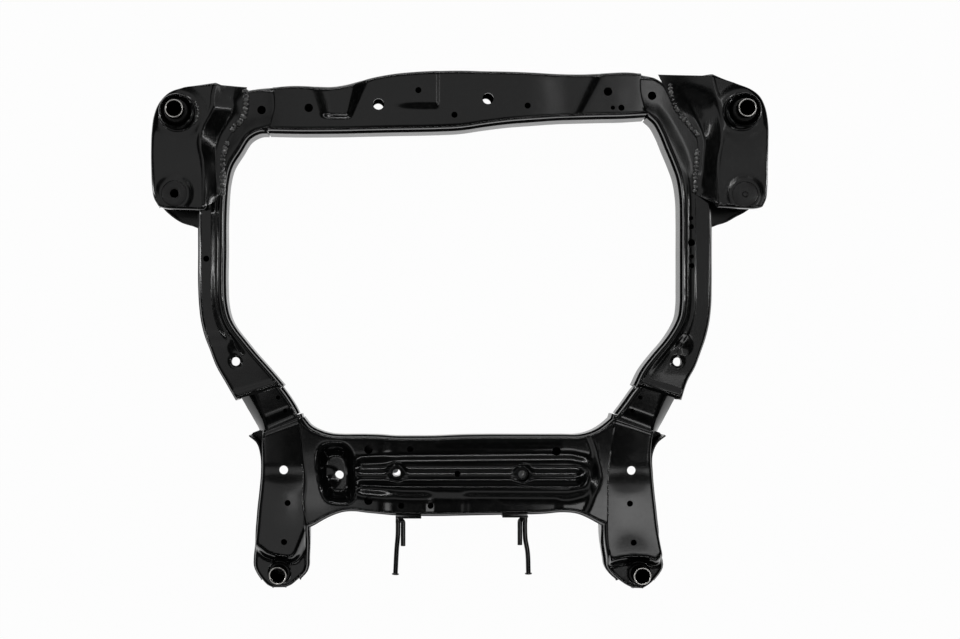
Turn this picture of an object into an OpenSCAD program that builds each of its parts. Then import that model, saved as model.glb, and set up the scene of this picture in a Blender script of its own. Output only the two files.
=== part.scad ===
/* [Frame] */
// Width across the outboard edges of the two brackets
overall_width = 1003; // [920:1:1090]
// Length from the front edge to the noses of the legs
overall_length = 864; // [800:1:930]
// Thickness of the pressed sheet
sheet = 2.5; // [2:0.1:3.2]
// Gap between two sheets that lie on each other, before welding
clearance = 0.3; // [0.2:0.05:0.5]
// Outer radius of the folds along the edges
bend = 5; // [4:0.25:6.5]

/* [Heights] */
// Height of the underside of the frame above the feet of the bush sleeves
underside = 18; // [12:0.5:26]
// Height of the side rails
rail_height = 54; // [48:1:62]
// Height of the rear legs
leg_height = 50; // [44:1:56]
// How far the control-arm pads stand above the rails
pad_rise = 17; // [13:0.5:24]
// Depth of the turned-down edge of the pads
pad_flange = 13; // [10:0.5:14]
// How far the end of each leg lies below its top
nose_drop = 20; // [14:0.5:24]
// How far the edge of an upper shell reaches down
skirt = 34; // [26:0.5:38]
// Height of the walls of the lower shells
tray_wall = 38; // [32:0.5:42]
// Height of the turned-up edge of the lower bracket plates
plate_flange = 12; // [10:0.5:18]

/* [Pressed forms] */
// Depth of the pocket at the left end of the rear crossmember
pocket_depth = 30; // [16:0.5:36]
// Depth of the two grooves along the rear crossmember
groove_depth = 18; // [10:0.5:24]
// Drop of the middle of the rear crossmember below its ends
waist_drop = 6; // [3:0.5:8]
// Drop of the ridge between the two grooves
ridge_drop = 9; // [5:0.5:14]
// Depth of the recess pressed into the front crossmember
recess_depth = 7; // [3:0.5:10]
// Height of the rib pressed along the inner edge of each rail
rib_height = 4; // [2:0.5:6]
// Depth of the channel beside the rib of each rail
channel_depth = 7; // [3:0.5:9]
// Depth of the dish around each control-arm boss
dish_depth = 3; // [1.5:0.5:5]

/* [Front bushes] */
// Outer diameter of the inner sleeve
front_sleeve_od = 28.4; // [26:0.2:31]
// Bore of the inner sleeve
front_sleeve_bore = 24.6; // [20:0.2:25]
// Length of the inner sleeve
front_sleeve_length = 125; // [118:1:136]
// Outer diameter of the steel can round the rubber
front_can_od = 55.6; // [50:0.2:60]
// Wall of the steel can
can_wall = 1.8; // [1.4:0.1:2.4]
// Wall of the tube that holds the can
tube_wall = 3.2; // [2.4:0.1:4]
// How far the can stands out of its tube
can_rise = 15; // [8:0.5:18]
// How far the tube stands above the pad
tube_rise = 4; // [2:0.5:7]

/* [Rear bushes] */
// Outer diameter of the inner sleeve
rear_sleeve_od = 28; // [25:0.2:30]
// Bore of the inner sleeve
rear_sleeve_bore = 24; // [19:0.2:24.2]
// Length of the inner sleeve
rear_sleeve_length = 82; // [76:1:90]
// Outer diameter of the steel can round the rubber
rear_can_od = 39; // [36:0.2:41]

/* [Control-arm bosses] */
// Diameter of the boss
boss_od = 41; // [36:0.5:44]
// Diameter of the bolt hole
boss_bore = 14; // [11:0.5:18]
// How far the boss stands above its dish
boss_rise = 1.5; // [1:0.5:3]
// Depth of the centre mark on the right boss
mark_depth = 1.5; // [1:0.25:3]
// Diameter of the centre mark on the right boss
mark_d = 10; // [6:0.5:14]

/* [Holes] */
// Small locating and drain holes
small_hole = 7; // [5:0.5:9]
// Medium holes
middle_hole = 10; // [8:0.5:12]
// Large tooling holes
large_hole = 14; // [12:0.5:16]
// Largest tooling holes
wide_hole = 18; // [16:0.5:21]
// Outer diameter of the collars of the steering-gear mounts
collar_od = 21; // [19:0.5:24]
// Bore of the collars of the steering-gear mounts
collar_bore = 13; // [10:0.5:14]
// Width across the corners of a weld nut
nut_size = 21; // [19:0.5:23]
// Height of a weld nut
nut_height = 9; // [7:0.5:12]

/* [Exhaust hangers] */
// Diameter of the bent rods
rod_d = 8; // [6:0.25:9]
// Diameter of the flared tips of the rods
tip_d = 12; // [10:0.25:14]
// Length of each long rod leg behind the crossmember
long_leg = 98; // [84:1:112]
// Length of each short rod leg behind the crossmember
short_leg = 46; // [38:1:54]
// Thickness of the foot plates
foot_sheet = 3; // [2.5:0.1:4]
// Height of the foot plates
foot_height = 26; // [24:0.5:32]

/* [Hidden] */
$fn = 48;

// The outline points are picture coordinates: across to the right, and down.
// They are shares of the overall width and length, which the extent below ties to them.
extent_px = [617, 531.5];
middle_px = [459.55, 333.06];
across = overall_width / extent_px.x;
along = overall_length / extent_px.y;
function at(p) = [(p.x - middle_px.x) * across, (middle_px.y - p.y) * along];

// Heights of the faces
rail_top = underside + rail_height;
leg_top = underside + leg_height;
front_top = rail_top + sheet + clearance;
rear_top = leg_top + sheet + clearance;
pad_top = rail_top + pad_rise;
lap_top = rail_top + sheet + clearance;
overrun = 1;

// A smooth step from nought to one between a and b
function ease(a, b, x) = let (s = min(1, max(0, (x - a) / (b - a)))) s * s * (3 - 2 * s);
// One inside the span from a to b, nought outside it, with soft flanks
function swell(a, b, flank, x) =
    ease(a - flank / 2, a + flank / 2, x) * (1 - ease(b - flank / 2, b + flank / 2, x));
// One inside a box of picture coordinates, given as its left, top, right and bottom
function patch(box, flank, p) = swell(box[0], box[2], flank, p.x) * swell(box[1], box[3], flank, p.y);
// One at the middle of a round patch, nought outside it
function round_patch(centre, inner, outer, p) = 1 - ease(inner, outer, norm(p - centre));

// A point on an open line of points, by its share of the number of spans
function on_line(line, s) = between(line, s * (len(line) - 1));
// A point on an open line of points, by its place in the list
function between(line, k) =
    let (i = max(0, min(floor(k), len(line) - 2))) line[i] + (line[i + 1] - line[i]) * (k - i);

// The plan points of a member are rows of four: outer edge across and down, inner edge across
// and down. A section is a list of [share across, inset from the edge, height], where a share
// of nought or one lies at an edge, and the others lie between the folds.
function outer_of(row) = [row[0], row[1]];
function inner_of(row) = [row[2], row[3]];
function row_pixel(row, share) =
    let (width = norm(at(inner_of(row)) - at(outer_of(row))), s = (bend + (width - 2 * bend) * share) / width)
    outer_of(row) + (inner_of(row) - outer_of(row)) * s;
function unit_of(v) = v / norm(v);
// The direction in which an inset of one moves a corner of a line, so that the line stays parallel
function inset_at(line, i, toward) =
    let (
        last = len(line) - 1,
        a = unit_of(line[max(i, 1)] - line[max(i, 1) - 1]),
        b = unit_of(line[min(i, last - 1) + 1] - line[min(i, last - 1)]),
        u = [-a.y, a.x],
        v = [-b.y, b.x],
        m = (u + v) / (1 + u * v)
    )
    m * sign(m * toward);
// The plan grid of a member: every row takes the section that the function gives for it
function member(rows, section) =
    let (
        outer = [for (r = rows) at(outer_of(r))],
        inner = [for (r = rows) at(inner_of(r))]
    )
    [for (i = [0 : len(rows) - 1]) let (
        across_row = inner[i] - outer[i],
        from_outer = inset_at(outer, i, across_row),
        from_inner = inset_at(inner, i, across_row),
        flat_start = outer[i] + from_outer * bend,
        flat_end = inner[i] - from_inner * bend
    ) [for (p = section(i)) let (
        q = p[0] == 0 ? outer[i] + from_outer * p[1]
            : p[0] == 1 ? inner[i] + from_inner * p[1]
            : flat_start + (flat_end - flat_start) * p[0]
    ) [q.x, q.y, p[2]]]];

// Section of an upper shell: wall, fold, top with its pressed form, fold, wall
fold = bend * (1 - sqrt(1 / 2));
function upper_section(row, top, foot, shares, form) =
    let (first = top + form(row_pixel(row, 0), 0), last = top + form(row_pixel(row, 1), 1)) concat(
        [[0, 0, foot], [0, 0, first - bend], [0, fold, first - fold]],
        [for (s = shares) [s, s == 0 ? bend : s == 1 ? -bend : 0, top + form(row_pixel(row, s), s)]],
        [[1, -fold, last - fold], [1, 0, last - bend], [1, 0, foot]]
    );
// Section of a lower shell: wall, fold, floor, fold, wall, outside the walls of the upper shell
function lower_section(bottom, head, out) = [
    [1, out, head],
    [1, out, bottom + bend],
    [1, out - bend, bottom],
    [0, bend - out, bottom],
    [0, -out, bottom + bend],
    [0, -out, head]
];
// Moves the top columns of one end row onto a seam line, which gives the lap of a shell
function lapped(grid, index, line, walls = 3) = [
    for (i = [0 : len(grid) - 1]) i != index ? grid[i] : [
        for (j = [0 : len(grid[i]) - 1])
            let (tops = len(grid[i]) - 2 * walls - 1, s = (j - walls) / tops)
            s < 0 || s > 1 ? grid[i][j] : let (q = at(on_line(line, s))) [q.x, q.y, grid[i][j].z]
    ]
];
// How far the two rows of a turned edge have come towards the height of its foot
fold_turn = 1 / 8;
wall_turn = 3 / 4;
// A row pushed out beyond the end of a grid and turned towards a height, as a flange; the
// columns from the given one on stay plain, and lead is the way out where it is one for all
function turned_row(row, from, reach, turn, height, plain, lead) = [
    for (j = [0 : len(row) - 1])
        let (
            out = is_undef(lead) ? unit_of([row[j].x - from[j].x, row[j].y - from[j].y]) : lead,
            r = j < plain ? reach : reach / 4,
            k = j < plain ? turn : 0
        )
        [row[j].x + out.x * r, row[j].y + out.y * r, height + (row[j].z - height) * (1 - k)]
];
// Turns the last row of a grid towards a height, with a fold
function turned_end(grid, out, height, plain = 100, lead = undef) = let (
    last = grid[len(grid) - 1],
    from = grid[len(grid) - 2]
) concat(grid, [
    turned_row(last, from, out - fold, fold_turn, height, plain, lead),
    turned_row(last, from, out, wall_turn, height, plain, lead)
]);
function reversed(list) = [for (i = [len(list) - 1 : -1 : 0]) list[i]];

// Surface normals of a grid of points, for the second face of the sheet
function normal_at(grid, i, j) =
    let (
        m = len(grid) - 1,
        n = len(grid[0]) - 1,
        a = grid[min(i + 1, m)][j] - grid[max(i - 1, 0)][j],
        b = grid[i][min(j + 1, n)] - grid[i][max(j - 1, 0)],
        c = cross(a, b)
    )
    c / norm(c);

// A pressed sheet: a grid of points on its outer face, and the same grid one thickness inside
module pressing(grid, thickness = sheet) {
    rows = len(grid);
    columns = len(grid[0]);
    size = rows * columns;
    skin = [for (i = [0 : rows - 1], j = [0 : columns - 1]) grid[i][j]];
    back = [for (i = [0 : rows - 1], j = [0 : columns - 1]) grid[i][j] - normal_at(grid, i, j) * thickness];
    function o(i, j) = i * columns + j;
    function k(i, j) = size + i * columns + j;
    faces = concat(
        [for (i = [0 : rows - 2], j = [0 : columns - 2]) each [
            [o(i, j), o(i, j + 1), o(i + 1, j + 1)], [o(i, j), o(i + 1, j + 1), o(i + 1, j)],
            [k(i, j), k(i + 1, j + 1), k(i, j + 1)], [k(i, j), k(i + 1, j), k(i + 1, j + 1)]
        ]],
        [for (i = [0 : rows - 2]) let (e = columns - 1) each [
            [o(i, 0), o(i + 1, 0), k(i + 1, 0)], [o(i, 0), k(i + 1, 0), k(i, 0)],
            [o(i + 1, e), o(i, e), k(i, e)], [o(i + 1, e), k(i, e), k(i + 1, e)]
        ]],
        [for (j = [0 : columns - 2]) let (e = rows - 1) each [
            [o(0, j + 1), o(0, j), k(0, j)], [o(0, j + 1), k(0, j), k(0, j + 1)],
            [o(e, j), o(e, j + 1), k(e, j + 1)], [o(e, j), k(e, j + 1), k(e, j)]
        ]]
    );
    polyhedron(concat(skin, back), faces);
}
// The right side runs the other way across, so its rows are turned round
function turned_round(grid) = [for (row = grid) [for (j = [len(row) - 1 : -1 : 0]) row[j]]];
function for_side(side, grid) = side == "left" ? grid : turned_round(grid);

// Upright holes at picture coordinates, as rows of [across, down, diameter]
module drill(holes, low, high) {
    for (h = holes)
        translate([at(h).x, at(h).y, low])
            cylinder(d = h[2], h = high - low);
}

// Front crossmember
front_rows_px = [
    [267.5, 129, 272, 86], [296, 129.6, 294, 84.6], [318, 129.6, 318, 85.3], [330, 129.5, 330, 85.6],
    [346, 129.3, 346, 83.4], [358, 129, 358, 80.2], [370, 128.7, 370, 77], [392, 128.2, 392, 72.8],
    [416, 127.8, 416, 70.6], [440, 127.2, 440, 69.5], [462, 126, 462, 69.2], [484, 122.8, 484, 69.8],
    [508, 119.8, 508, 70.2], [534, 117.8, 534, 71.2], [560, 116, 560, 72.4], [584, 115.3, 584, 72.8],
    [604, 114.8, 604, 72], [626, 114.3, 626, 71], [647.8, 113, 642, 72]
];
front_left_seam_px = [[267.4, 127.5], [271, 117], [273.7, 106], [273.3, 97], [272.2, 88]];
front_right_seam_px = [[647.2, 111], [645, 103], [642.5, 94], [641.6, 86], [642, 74]];
front_shares = [0, 0.13, 0.26, 0.4, 0.55, 0.7, 0.85, 1];
front_recess_px = [324, 80, 352, 117];
front_slope_px = [352, 76, 366, 114];
front_panel_px = [396, 80, 438, 104];
front_step_px = [538, 60, 604, 130];
soft_flank_px = 6;
wide_flank_px = 12;
slope_depth = recess_depth / 2;
panel_height = recess_depth / 3;
step_depth = recess_depth / 4;
front_holes = [
    [308.5, 107.2, large_hole], [378.5, 103.4, wide_hole], [418.4, 89.6, middle_hole],
    [454.6, 114.1, middle_hole], [488.3, 97.8, wide_hole], [528, 104.9, middle_hole],
    [608.5, 90.9, large_hole], [613.5, 107, small_hole], [622, 107, middle_hole]
];
front_nut_holes_px = [[308.5, 107.2], [608.5, 90.9]];
front_through_holes = [[377, 105.5, wide_hole], [486.5, 100, wide_hole]];
function front_form(p) =
    -recess_depth * patch(front_recess_px, soft_flank_px, p)
    - slope_depth * patch(front_slope_px, soft_flank_px, p)
    + panel_height * patch(front_panel_px, soft_flank_px, p)
    - step_depth * patch(front_step_px, wide_flank_px, [p.x + (p.y - front_step_px[1]) / 2, p.y]);

module front_crossmember_upper() {
    grid = member(front_rows_px, function(i)
        upper_section(front_rows_px[i], front_top, front_top - skirt, front_shares, function(p, s) front_form(p)));
    color([0.1, 0.1, 0.11])
        difference() {
            pressing(lapped(lapped(grid, 0, front_left_seam_px), len(grid) - 1, front_right_seam_px));
            drill(front_holes, front_top - skirt, front_top + bend);
        }
}

module front_crossmember_lower() {
    grid = member(front_rows_px, function(i)
        lower_section(underside, underside + tray_wall, sheet + clearance));
    color([0.09, 0.09, 0.1])
        difference() {
            pressing(grid);
            drill(front_through_holes, underside - bend, underside + bend);
        }
}

// Side rails
left_rail_rows_px = [
    [271, 86.5, 266, 129.2], [258, 87.5, 259, 129.5], [238, 92, 247.5, 135.5], [222, 106, 238.5, 149],
    [210, 128, 229.5, 163.5], [202, 155, 225.3, 179.5], [198.5, 185, 223.5, 200], [197.5, 215, 222.8, 220],
    [197.5, 250, 222.8, 250], [197.5, 285, 222.5, 285], [198.5, 305, 223.5, 303], [200.5, 321, 227, 318],
    [204, 335, 233, 329], [209, 348, 242, 340.5], [215.5, 365, 253.5, 354.5], [224, 380, 266, 368.5],
    [235.5, 400, 281.3, 386.2]
];
right_rail_rows_px = [
    [642.8, 73.5, 650.3, 114], [655, 76, 657, 120], [668, 84, 663, 130.5], [684, 100, 669, 145],
    [700, 124, 675.5, 160.5], [709, 150, 681, 176], [713, 180, 684, 195], [713.5, 215, 684.7, 218],
    [713.5, 250, 684.7, 250], [713.5, 285, 684.7, 285], [713, 305, 684.5, 303], [711, 322, 682.5, 317],
    [707.5, 337, 677, 329], [703, 350, 668.5, 341.5], [697, 366, 657, 355], [689, 381, 645.5, 370],
    [682.8, 400, 637.5, 386]
];
left_tongue_px = [[277, 92], [279, 101], [278.5, 112], [274.5, 122.5]];
right_tongue_px = [[636, 78], [635.5, 86], [638, 97], [643, 107]];
rail_shares = [0, 0.25, 0.5, 0.6, 0.9, 1];
left_rail_panel_px = [235, 361.4];
right_rail_panel_px = [678.6, 361.7];
panel_reach_px = [9, 13];
rib_run_px = [206, 335, 14];
left_rail_holes = [[261, 109, large_hole], [205, 258, middle_hole], [235, 361.4, large_hole]];
right_rail_holes = [
    [653, 94.7, large_hole], [693.2, 219, small_hole], [693.3, 227, small_hole],
    [693.4, 242, middle_hole], [693.5, 256.5, small_hole], [693.3, 265.5, small_hole],
    [678.6, 361.7, large_hole]
];
left_rail_through = [[236, 361.4, large_hole]];
right_rail_through = [[677.5, 361.7, large_hole]];
function rail_rows(side) = side == "left" ? left_rail_rows_px : right_rail_rows_px;
// A rib runs along the inner edge of the straight part, with a lower strip and a lower
// outboard flat beside it, and a round dished panel lies near the rear end
function rail_form(side, p, s) =
    let (run = swell(rib_run_px[0], rib_run_px[1], rib_run_px[2], p.y), panel = side == "left" ? left_rail_panel_px : right_rail_panel_px)
    -rib_height * run * (1 - ease(rail_shares[4], rail_shares[5], s))
    - (channel_depth - rib_height) * run * (1 - ease(rail_shares[2], rail_shares[3], s))
    - dish_depth * round_patch(panel, panel_reach_px[0], panel_reach_px[1], p);

module rail_upper(side, holes) {
    rows = rail_rows(side);
    grid = member(rows, function(i)
        upper_section(rows[i], rail_top, rail_top - skirt, rail_shares, function(p, s) rail_form(side, p, s)));
    color([0.1, 0.1, 0.11])
        difference() {
            pressing(for_side(side, lapped(grid, 0, side == "left" ? left_tongue_px : right_tongue_px)));
            drill(holes, rail_top - skirt, rail_top + bend);
        }
}
module rail_lower(side, holes) {
    grid = member(rail_rows(side), function(i)
        lower_section(underside, underside + tray_wall, sheet + clearance));
    color([0.09, 0.09, 0.1])
        difference() {
            pressing(for_side(side, grid));
            drill(holes, underside - bend, underside + bend);
        }
}

// Links between the rails and the legs: the top of each link tucks under both, and its
// outer wall splays out to the foot
left_link_rows_px = [
    [253.7, 396.3, 279.4, 388], [256.5, 404, 283.5, 393.5], [259.5, 413, 288.7, 401],
    [262, 421, 293.3, 408.5], [263, 426.4, 295.3, 413]
];
right_link_rows_px = [
    [665, 396, 639.5, 388], [662.3, 404, 635.2, 393.5], [659.7, 413, 630, 401],
    [657.5, 421, 624.5, 408.5], [656.6, 426.2, 621, 413]
];
link_splay_px = [11, 9.5, 7.5, 6, 5];
left_link_tucks_px = [[[250, 390.5], [261, 387.5], [271.5, 384]], [[267.5, 432], [280, 427], [292.5, 421]]];
right_link_tucks_px = [[[668, 390.5], [658, 387.5], [647, 384]], [[651.5, 432], [638, 427], [622, 421]]];
link_shares = [0, 0.35, 0.6, 1];
left_link_holes = [[277.5, 397.6, small_hole], [284.5, 410.8, small_hole]];
right_link_holes = [[641.5, 397.6, small_hole], [633.5, 410.8, small_hole]];
function link_rows(side) = side == "left" ? left_link_rows_px : right_link_rows_px;
function link_height(i) = rail_top - sheet - clearance
    + (leg_top - rail_top) * min(1, max(0, (i - 1) / (len(link_splay_px) - 3)));
function link_skirt(i) = link_height(i) - skirt + 2 * bend;
// The foot of the outer wall, in picture coordinates
function splayed(row, i) = let (q = outer_of(row) - unit_of(inner_of(row) - outer_of(row)) * link_splay_px[i])
    [q.x, q.y, row[2], row[3]];

module link_upper(side, holes) {
    rows = link_rows(side);
    tucks = side == "left" ? left_link_tucks_px : right_link_tucks_px;
    plain = member(rows, function(i)
        upper_section(rows[i], link_height(i), link_skirt(i), link_shares, function(p, s) 0));
    feet = member([for (i = [0 : len(rows) - 1]) splayed(rows[i], i)], function(i) [[0, 0, link_skirt(i)]]);
    grid = [for (i = [0 : len(rows) - 1]) concat(feet[i], [for (j = [1 : len(plain[i]) - 1]) plain[i][j]])];
    color([0.12, 0.12, 0.13])
        difference() {
            pressing(for_side(side, lapped(lapped(grid, 0, tucks[0]), len(grid) - 1, tucks[1])));
            drill(holes, link_height(0) - skirt, link_height(0) + bend);
        }
}
module link_lower(side) {
    rows = [for (i = [0 : len(link_splay_px) - 1]) splayed(link_rows(side)[i], i)];
    grid = member(rows, function(i)
        lower_section(underside, link_skirt(i) + bend / 2, sheet + clearance));
    color([0.09, 0.09, 0.1])
        pressing(for_side(side, grid));
}

// Rear legs
left_leg_rows_px = [
    [262, 429, 299, 414.5], [260.5, 441, 303, 431], [261, 456, 305, 453], [261, 474, 306.5, 474],
    [259.5, 492, 307, 492], [257.5, 510, 307, 510], [256, 528, 307, 528], [254.5, 543, 306.8, 543],
    [253.3, 553, 306.4, 553], [252.4, 562, 306, 562], [251, 575, 305.7, 574], [256, 582, 297, 583],
    [263, 591, 289, 590.5]
];
right_leg_rows_px = [
    [657, 429, 616, 414.5], [654.5, 441, 611, 431], [653, 456, 608.5, 453], [654, 474, 606.5, 474],
    [655.5, 492, 605.5, 492], [657.5, 510, 605.2, 510], [659.5, 528, 605.2, 528], [662, 543, 606, 543],
    [664, 553, 607.5, 553], [666, 562, 609, 562], [668.6, 576, 612.5, 575], [662.5, 583, 621, 584],
    [655, 592, 630, 591.5]
];
leg_shares = [0, 0.2, 0.4, 0.6, 0.8, 1];
left_rear_axis_px = [277.7, 575.6];
right_rear_axis_px = [642.4, 576.2];
left_leg_holes = [
    [283, 470.5, large_hole], [287, 503.7, middle_hole], [283.4, 543, middle_hole]
];
right_leg_holes = [
    [632.7, 471, large_hole], [631.2, 504.3, middle_hole], [635, 543.6, middle_hole]
];
left_leg_through = [[283.8, 468.5, large_hole]];
right_leg_through = [[631.2, 469, large_hole]];
// The end of each nose lies beyond the tube of its bush by a gap
nose_gap = 2.7;
function nosed(rows, axis_px) =
    let (end = axis_px.y + (rear_tube_od / 2 + nose_gap) / along)
    [for (i = [0 : len(rows) - 1]) i < len(rows) - 1 ? rows[i] : [rows[i][0], end, rows[i][2], end]];
function leg_rows(side) = side == "left" ?
    nosed(left_leg_rows_px, left_rear_axis_px) : nosed(right_leg_rows_px, right_rear_axis_px);
// The front corners of the lower shells sweep out as horns
left_horn_px = [[248, 435.5], [256, 442.5], [260.4, 456]];
right_horn_px = [[668, 435.5], [659.5, 442.5], [653.8, 456]];
function horned(side) = let (rows = leg_rows(side), horn = side == "left" ? left_horn_px : right_horn_px)
    [for (i = [0 : len(rows) - 1]) i < len(horn) ? [horn[i].x, horn[i].y, rows[i][2], rows[i][3]] : rows[i]];
nose_step_px = [545, 561];
function nose_form(p) = -nose_drop * ease(nose_step_px[0], nose_step_px[1], p.y);
// A shallow crease across the top of each leg
leg_dip = 1.5;
leg_dip_px = [470, 478, 6];
nose_fold = 5;
// The end corners of the lower shell stand clear of those of the upper one
nose_spread = 1.8;

module leg_upper(side, axis_px, holes) {
    rows = leg_rows(side);
    grid = member(rows, function(i) let (low = nose_form(outer_of(rows[i])))
        upper_section(rows[i], leg_top + low, leg_top - skirt + low / 4, leg_shares,
            function(p, s) -leg_dip * swell(leg_dip_px[0], leg_dip_px[1], leg_dip_px[2], p.y)));
    color([0.13, 0.13, 0.14])
        difference() {
            pressing(for_side(side, turned_end(grid, nose_fold, leg_top - skirt - nose_drop / 4, lead = [0, -1])));
            drill(holes, leg_top - skirt, leg_top + bend);
            drill([[axis_px.x, axis_px.y, rear_can_od + 2 * clearance]], underside, leg_top);
        }
}
module leg_lower(side, axis_px, holes) {
    rows = horned(side);
    grid = member(rows, function(i) let (low = nose_form(outer_of(rows[i])))
        lower_section(underside, underside + tray_wall + low,
            (sheet + clearance) * (i == len(rows) - 1 ? nose_spread : 1)));
    color([0.09, 0.09, 0.1])
        difference() {
            pressing(for_side(side, turned_end(grid, nose_fold + sheet + 2 * clearance, underside + tray_wall - nose_drop,
                lead = [0, -1])));
            drill(holes, underside - bend, underside + bend);
            drill([[axis_px.x, axis_px.y, rear_can_od + 2 * clearance]], underside - bend, leg_top);
        }
}

// Rear crossmember
rear_rows_px = [
    [310, 527, 305.5, 425], [314, 524.6, 312, 430], [321, 520.5, 320, 433.2], [330, 516, 330, 436],
    [342, 512, 342, 437], [354, 511.2, 354, 437], [366, 512.6, 366, 437], [380, 514, 380, 437.4],
    [393, 515.2, 393, 438.4], [412, 515.8, 412, 438.6], [436, 516, 436, 438.4], [462, 515.6, 462, 437.4],
    [490, 515, 490, 437], [520, 514.6, 520, 437], [545, 513.8, 545, 437], [566, 512.2, 566, 437],
    [580, 513.8, 580, 437], [590, 517.8, 590, 435], [597, 521.5, 597, 432.2], [602, 524.3, 603, 428.5]
];
rear_left_seam_px = [[305, 525], [301.5, 504], [304, 483], [301.4, 456], [298, 421]];
rear_right_seam_px = [[609, 524], [609, 500], [609.5, 472], [613, 450], [617, 422]];
rear_shares = [0, 0.1, 0.22, 0.3, 0.38, 0.5, 0.6, 0.7, 0.8, 0.9, 1];
rear_pocket_px = [318, 441, 353, 509];
rear_waist_px = [387, 430, 590, 525];
rear_groove_px = [[375, 458, 588, 470], [390, 485, 590, 496]];
rear_ridge_px = [362, 462, 590, 490];
pocket_flank_px = 11;
groove_flank_px = 7;
rear_holes = [
    [338.3, 476.7, large_hole], [368.4, 449.9, large_hole], [368.2, 501.3, large_hole],
    [410.2, 449.7, middle_hole], [401.3, 506.5, middle_hole], [430.8, 506.7, middle_hole],
    [457.8, 474.4, middle_hole], [557.5, 451.8, large_hole]
];
rear_through_holes = [[338.8, 476.2, wide_hole]];
collar_places_px = [[396.5, 474.1], [523.6, 475.5]];
function rear_form(p) =
    -pocket_depth * patch(rear_pocket_px, pocket_flank_px, p)
    - waist_drop * patch(rear_waist_px, wide_flank_px, p)
    - ridge_drop * patch(rear_ridge_px, wide_flank_px, p)
    - (groove_depth - ridge_drop) * max([for (box = rear_groove_px) patch(box, groove_flank_px, p)]);

module rear_crossmember_upper() {
    grid = member(rear_rows_px, function(i)
        upper_section(rear_rows_px[i], rear_top, rear_top - skirt, rear_shares, function(p, s) rear_form(p)));
    color([0.11, 0.11, 0.12])
        difference() {
            pressing(lapped(lapped(grid, 0, rear_left_seam_px), len(grid) - 1, rear_right_seam_px));
            drill(rear_holes, rear_top - 2 * skirt, rear_top + bend);
            for (p = collar_places_px)
                drill([[p.x, p.y, collar_od + 2 * clearance]], rear_top - 2 * skirt, rear_top + bend);
        }
}
module rear_crossmember_lower() {
    grid = member(rear_rows_px, function(i)
        lower_section(underside, underside + tray_wall, sheet + clearance));
    color([0.09, 0.09, 0.1])
        difference() {
            pressing(grid);
            drill(rear_through_holes, underside - bend, underside + bend);
            for (p = collar_places_px)
                drill([[p.x, p.y, collar_bore]], underside - bend, underside + bend);
        }
}
module steering_mount_collars() {
    color([0.14, 0.14, 0.15])
        for (p = collar_places_px)
            translate([at(p).x, at(p).y, underside + sheet + clearance])
                ring(collar_od, collar_bore, rear_top - waist_drop - ridge_drop - underside - sheet);
}

// Control-arm brackets: outboard edge, crease and weld edge, front to rear
left_bracket_rows_px = [
    [183, 88.5, 213.3, 88.5, 243, 90.5], [170, 93, 213.4, 96, 243.5, 99], [160, 103, 213, 106, 243.4, 113],
    [154.5, 116, 209, 116, 235.5, 126], [152.2, 132, 203, 128, 228, 137], [151.5, 150, 200.3, 143, 223, 150],
    [151.7, 170, 203.5, 160, 221, 165], [152.6, 188, 205, 178, 220.6, 180], [154.6, 199, 205, 194, 220.5, 191],
    [157.5, 208, 205, 208, 219, 197.5]
];
right_bracket_rows_px = [
    [735, 84.5, 712.5, 79, 669, 77.5], [750, 90, 714, 88, 671, 90], [759, 97, 716.5, 97, 674, 103],
    [764.5, 108, 719.5, 108, 681, 114], [767.4, 124, 721.5, 122, 690, 124], [767.6, 145, 721, 140, 698, 138],
    [767, 168, 717.5, 158, 698.5, 158], [766.6, 188, 716.5, 178, 697, 176], [765.2, 200, 717, 193, 696, 187],
    [761, 208, 717.4, 205, 697, 193]
];
bracket_shares = [0, 0.25, 0.5, 0.75];
slope_shares = [0, 0.35, 0.7, 1];
left_front_axis_px = [178.6, 113.8];
right_front_axis_px = [740.3, 113];
left_boss_px = [175, 194];
right_boss_px = [744, 195];
dish_px = [14, 20];
// Shares of the drop from the pad to the rail that the crease and the fold below it take
crease_share = 1 / 12;
brow_share = 1 / 6;
function bracket_rows(side) = side == "left" ? left_bracket_rows_px : right_bracket_rows_px;
function bracket_row(row, boss_px) =
    let (
        o = at([row[0], row[1]]), c = at([row[2], row[3]]), w = at([row[4], row[5]]),
        n = unit_of(c - o), m = unit_of(w - c), drop = pad_top - lap_top
    )
    concat(
        [[o.x, o.y, pad_top - pad_flange], [o.x, o.y, pad_top - bend],
         [o.x + n.x * fold, o.y + n.y * fold, pad_top - fold]],
        [for (s = bracket_shares)
            let (q = o + (c - o) * s + n * (s == 0 ? bend : 0), p = [row[0], row[1]] * (1 - s) + [row[2], row[3]] * s)
            [q.x, q.y, pad_top - dish_depth * round_patch(boss_px, dish_px[0], dish_px[1], p)]],
        [[c.x - n.x * bend, c.y - n.y * bend, pad_top], [c.x, c.y, pad_top - drop * crease_share]],
        [for (s = slope_shares)
            let (q = c + m * bend / 2 + (w - m * bend * 3 / 2 - c) * s)
            [q.x, q.y, pad_top - drop * (brow_share + (1 - brow_share) * s)]],
        [[w.x, w.y, lap_top]]
    );
// The front and rear edges of the pad are turned down like its outboard edge
pad_columns = 3 + len(bracket_shares) + 1;
function turned_down(grid) = let (foot = pad_top - pad_flange) reversed(
    turned_end(reversed(turned_end(grid, bend, foot, pad_columns)), bend, foot));

module bracket_upper(side, axis_px, boss_px) {
    grid = turned_down([for (row = bracket_rows(side)) bracket_row(row, boss_px)]);
    color([0.13, 0.13, 0.14])
        difference() {
            pressing(for_side(side, grid));
            drill([[axis_px.x, axis_px.y, front_tube_od + 2 * clearance]], rail_top - skirt, pad_top + bend);
            drill([[boss_px.x, boss_px.y, boss_od + 2 * clearance]], rail_top - skirt, pad_top + bend);
        }
}

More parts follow.
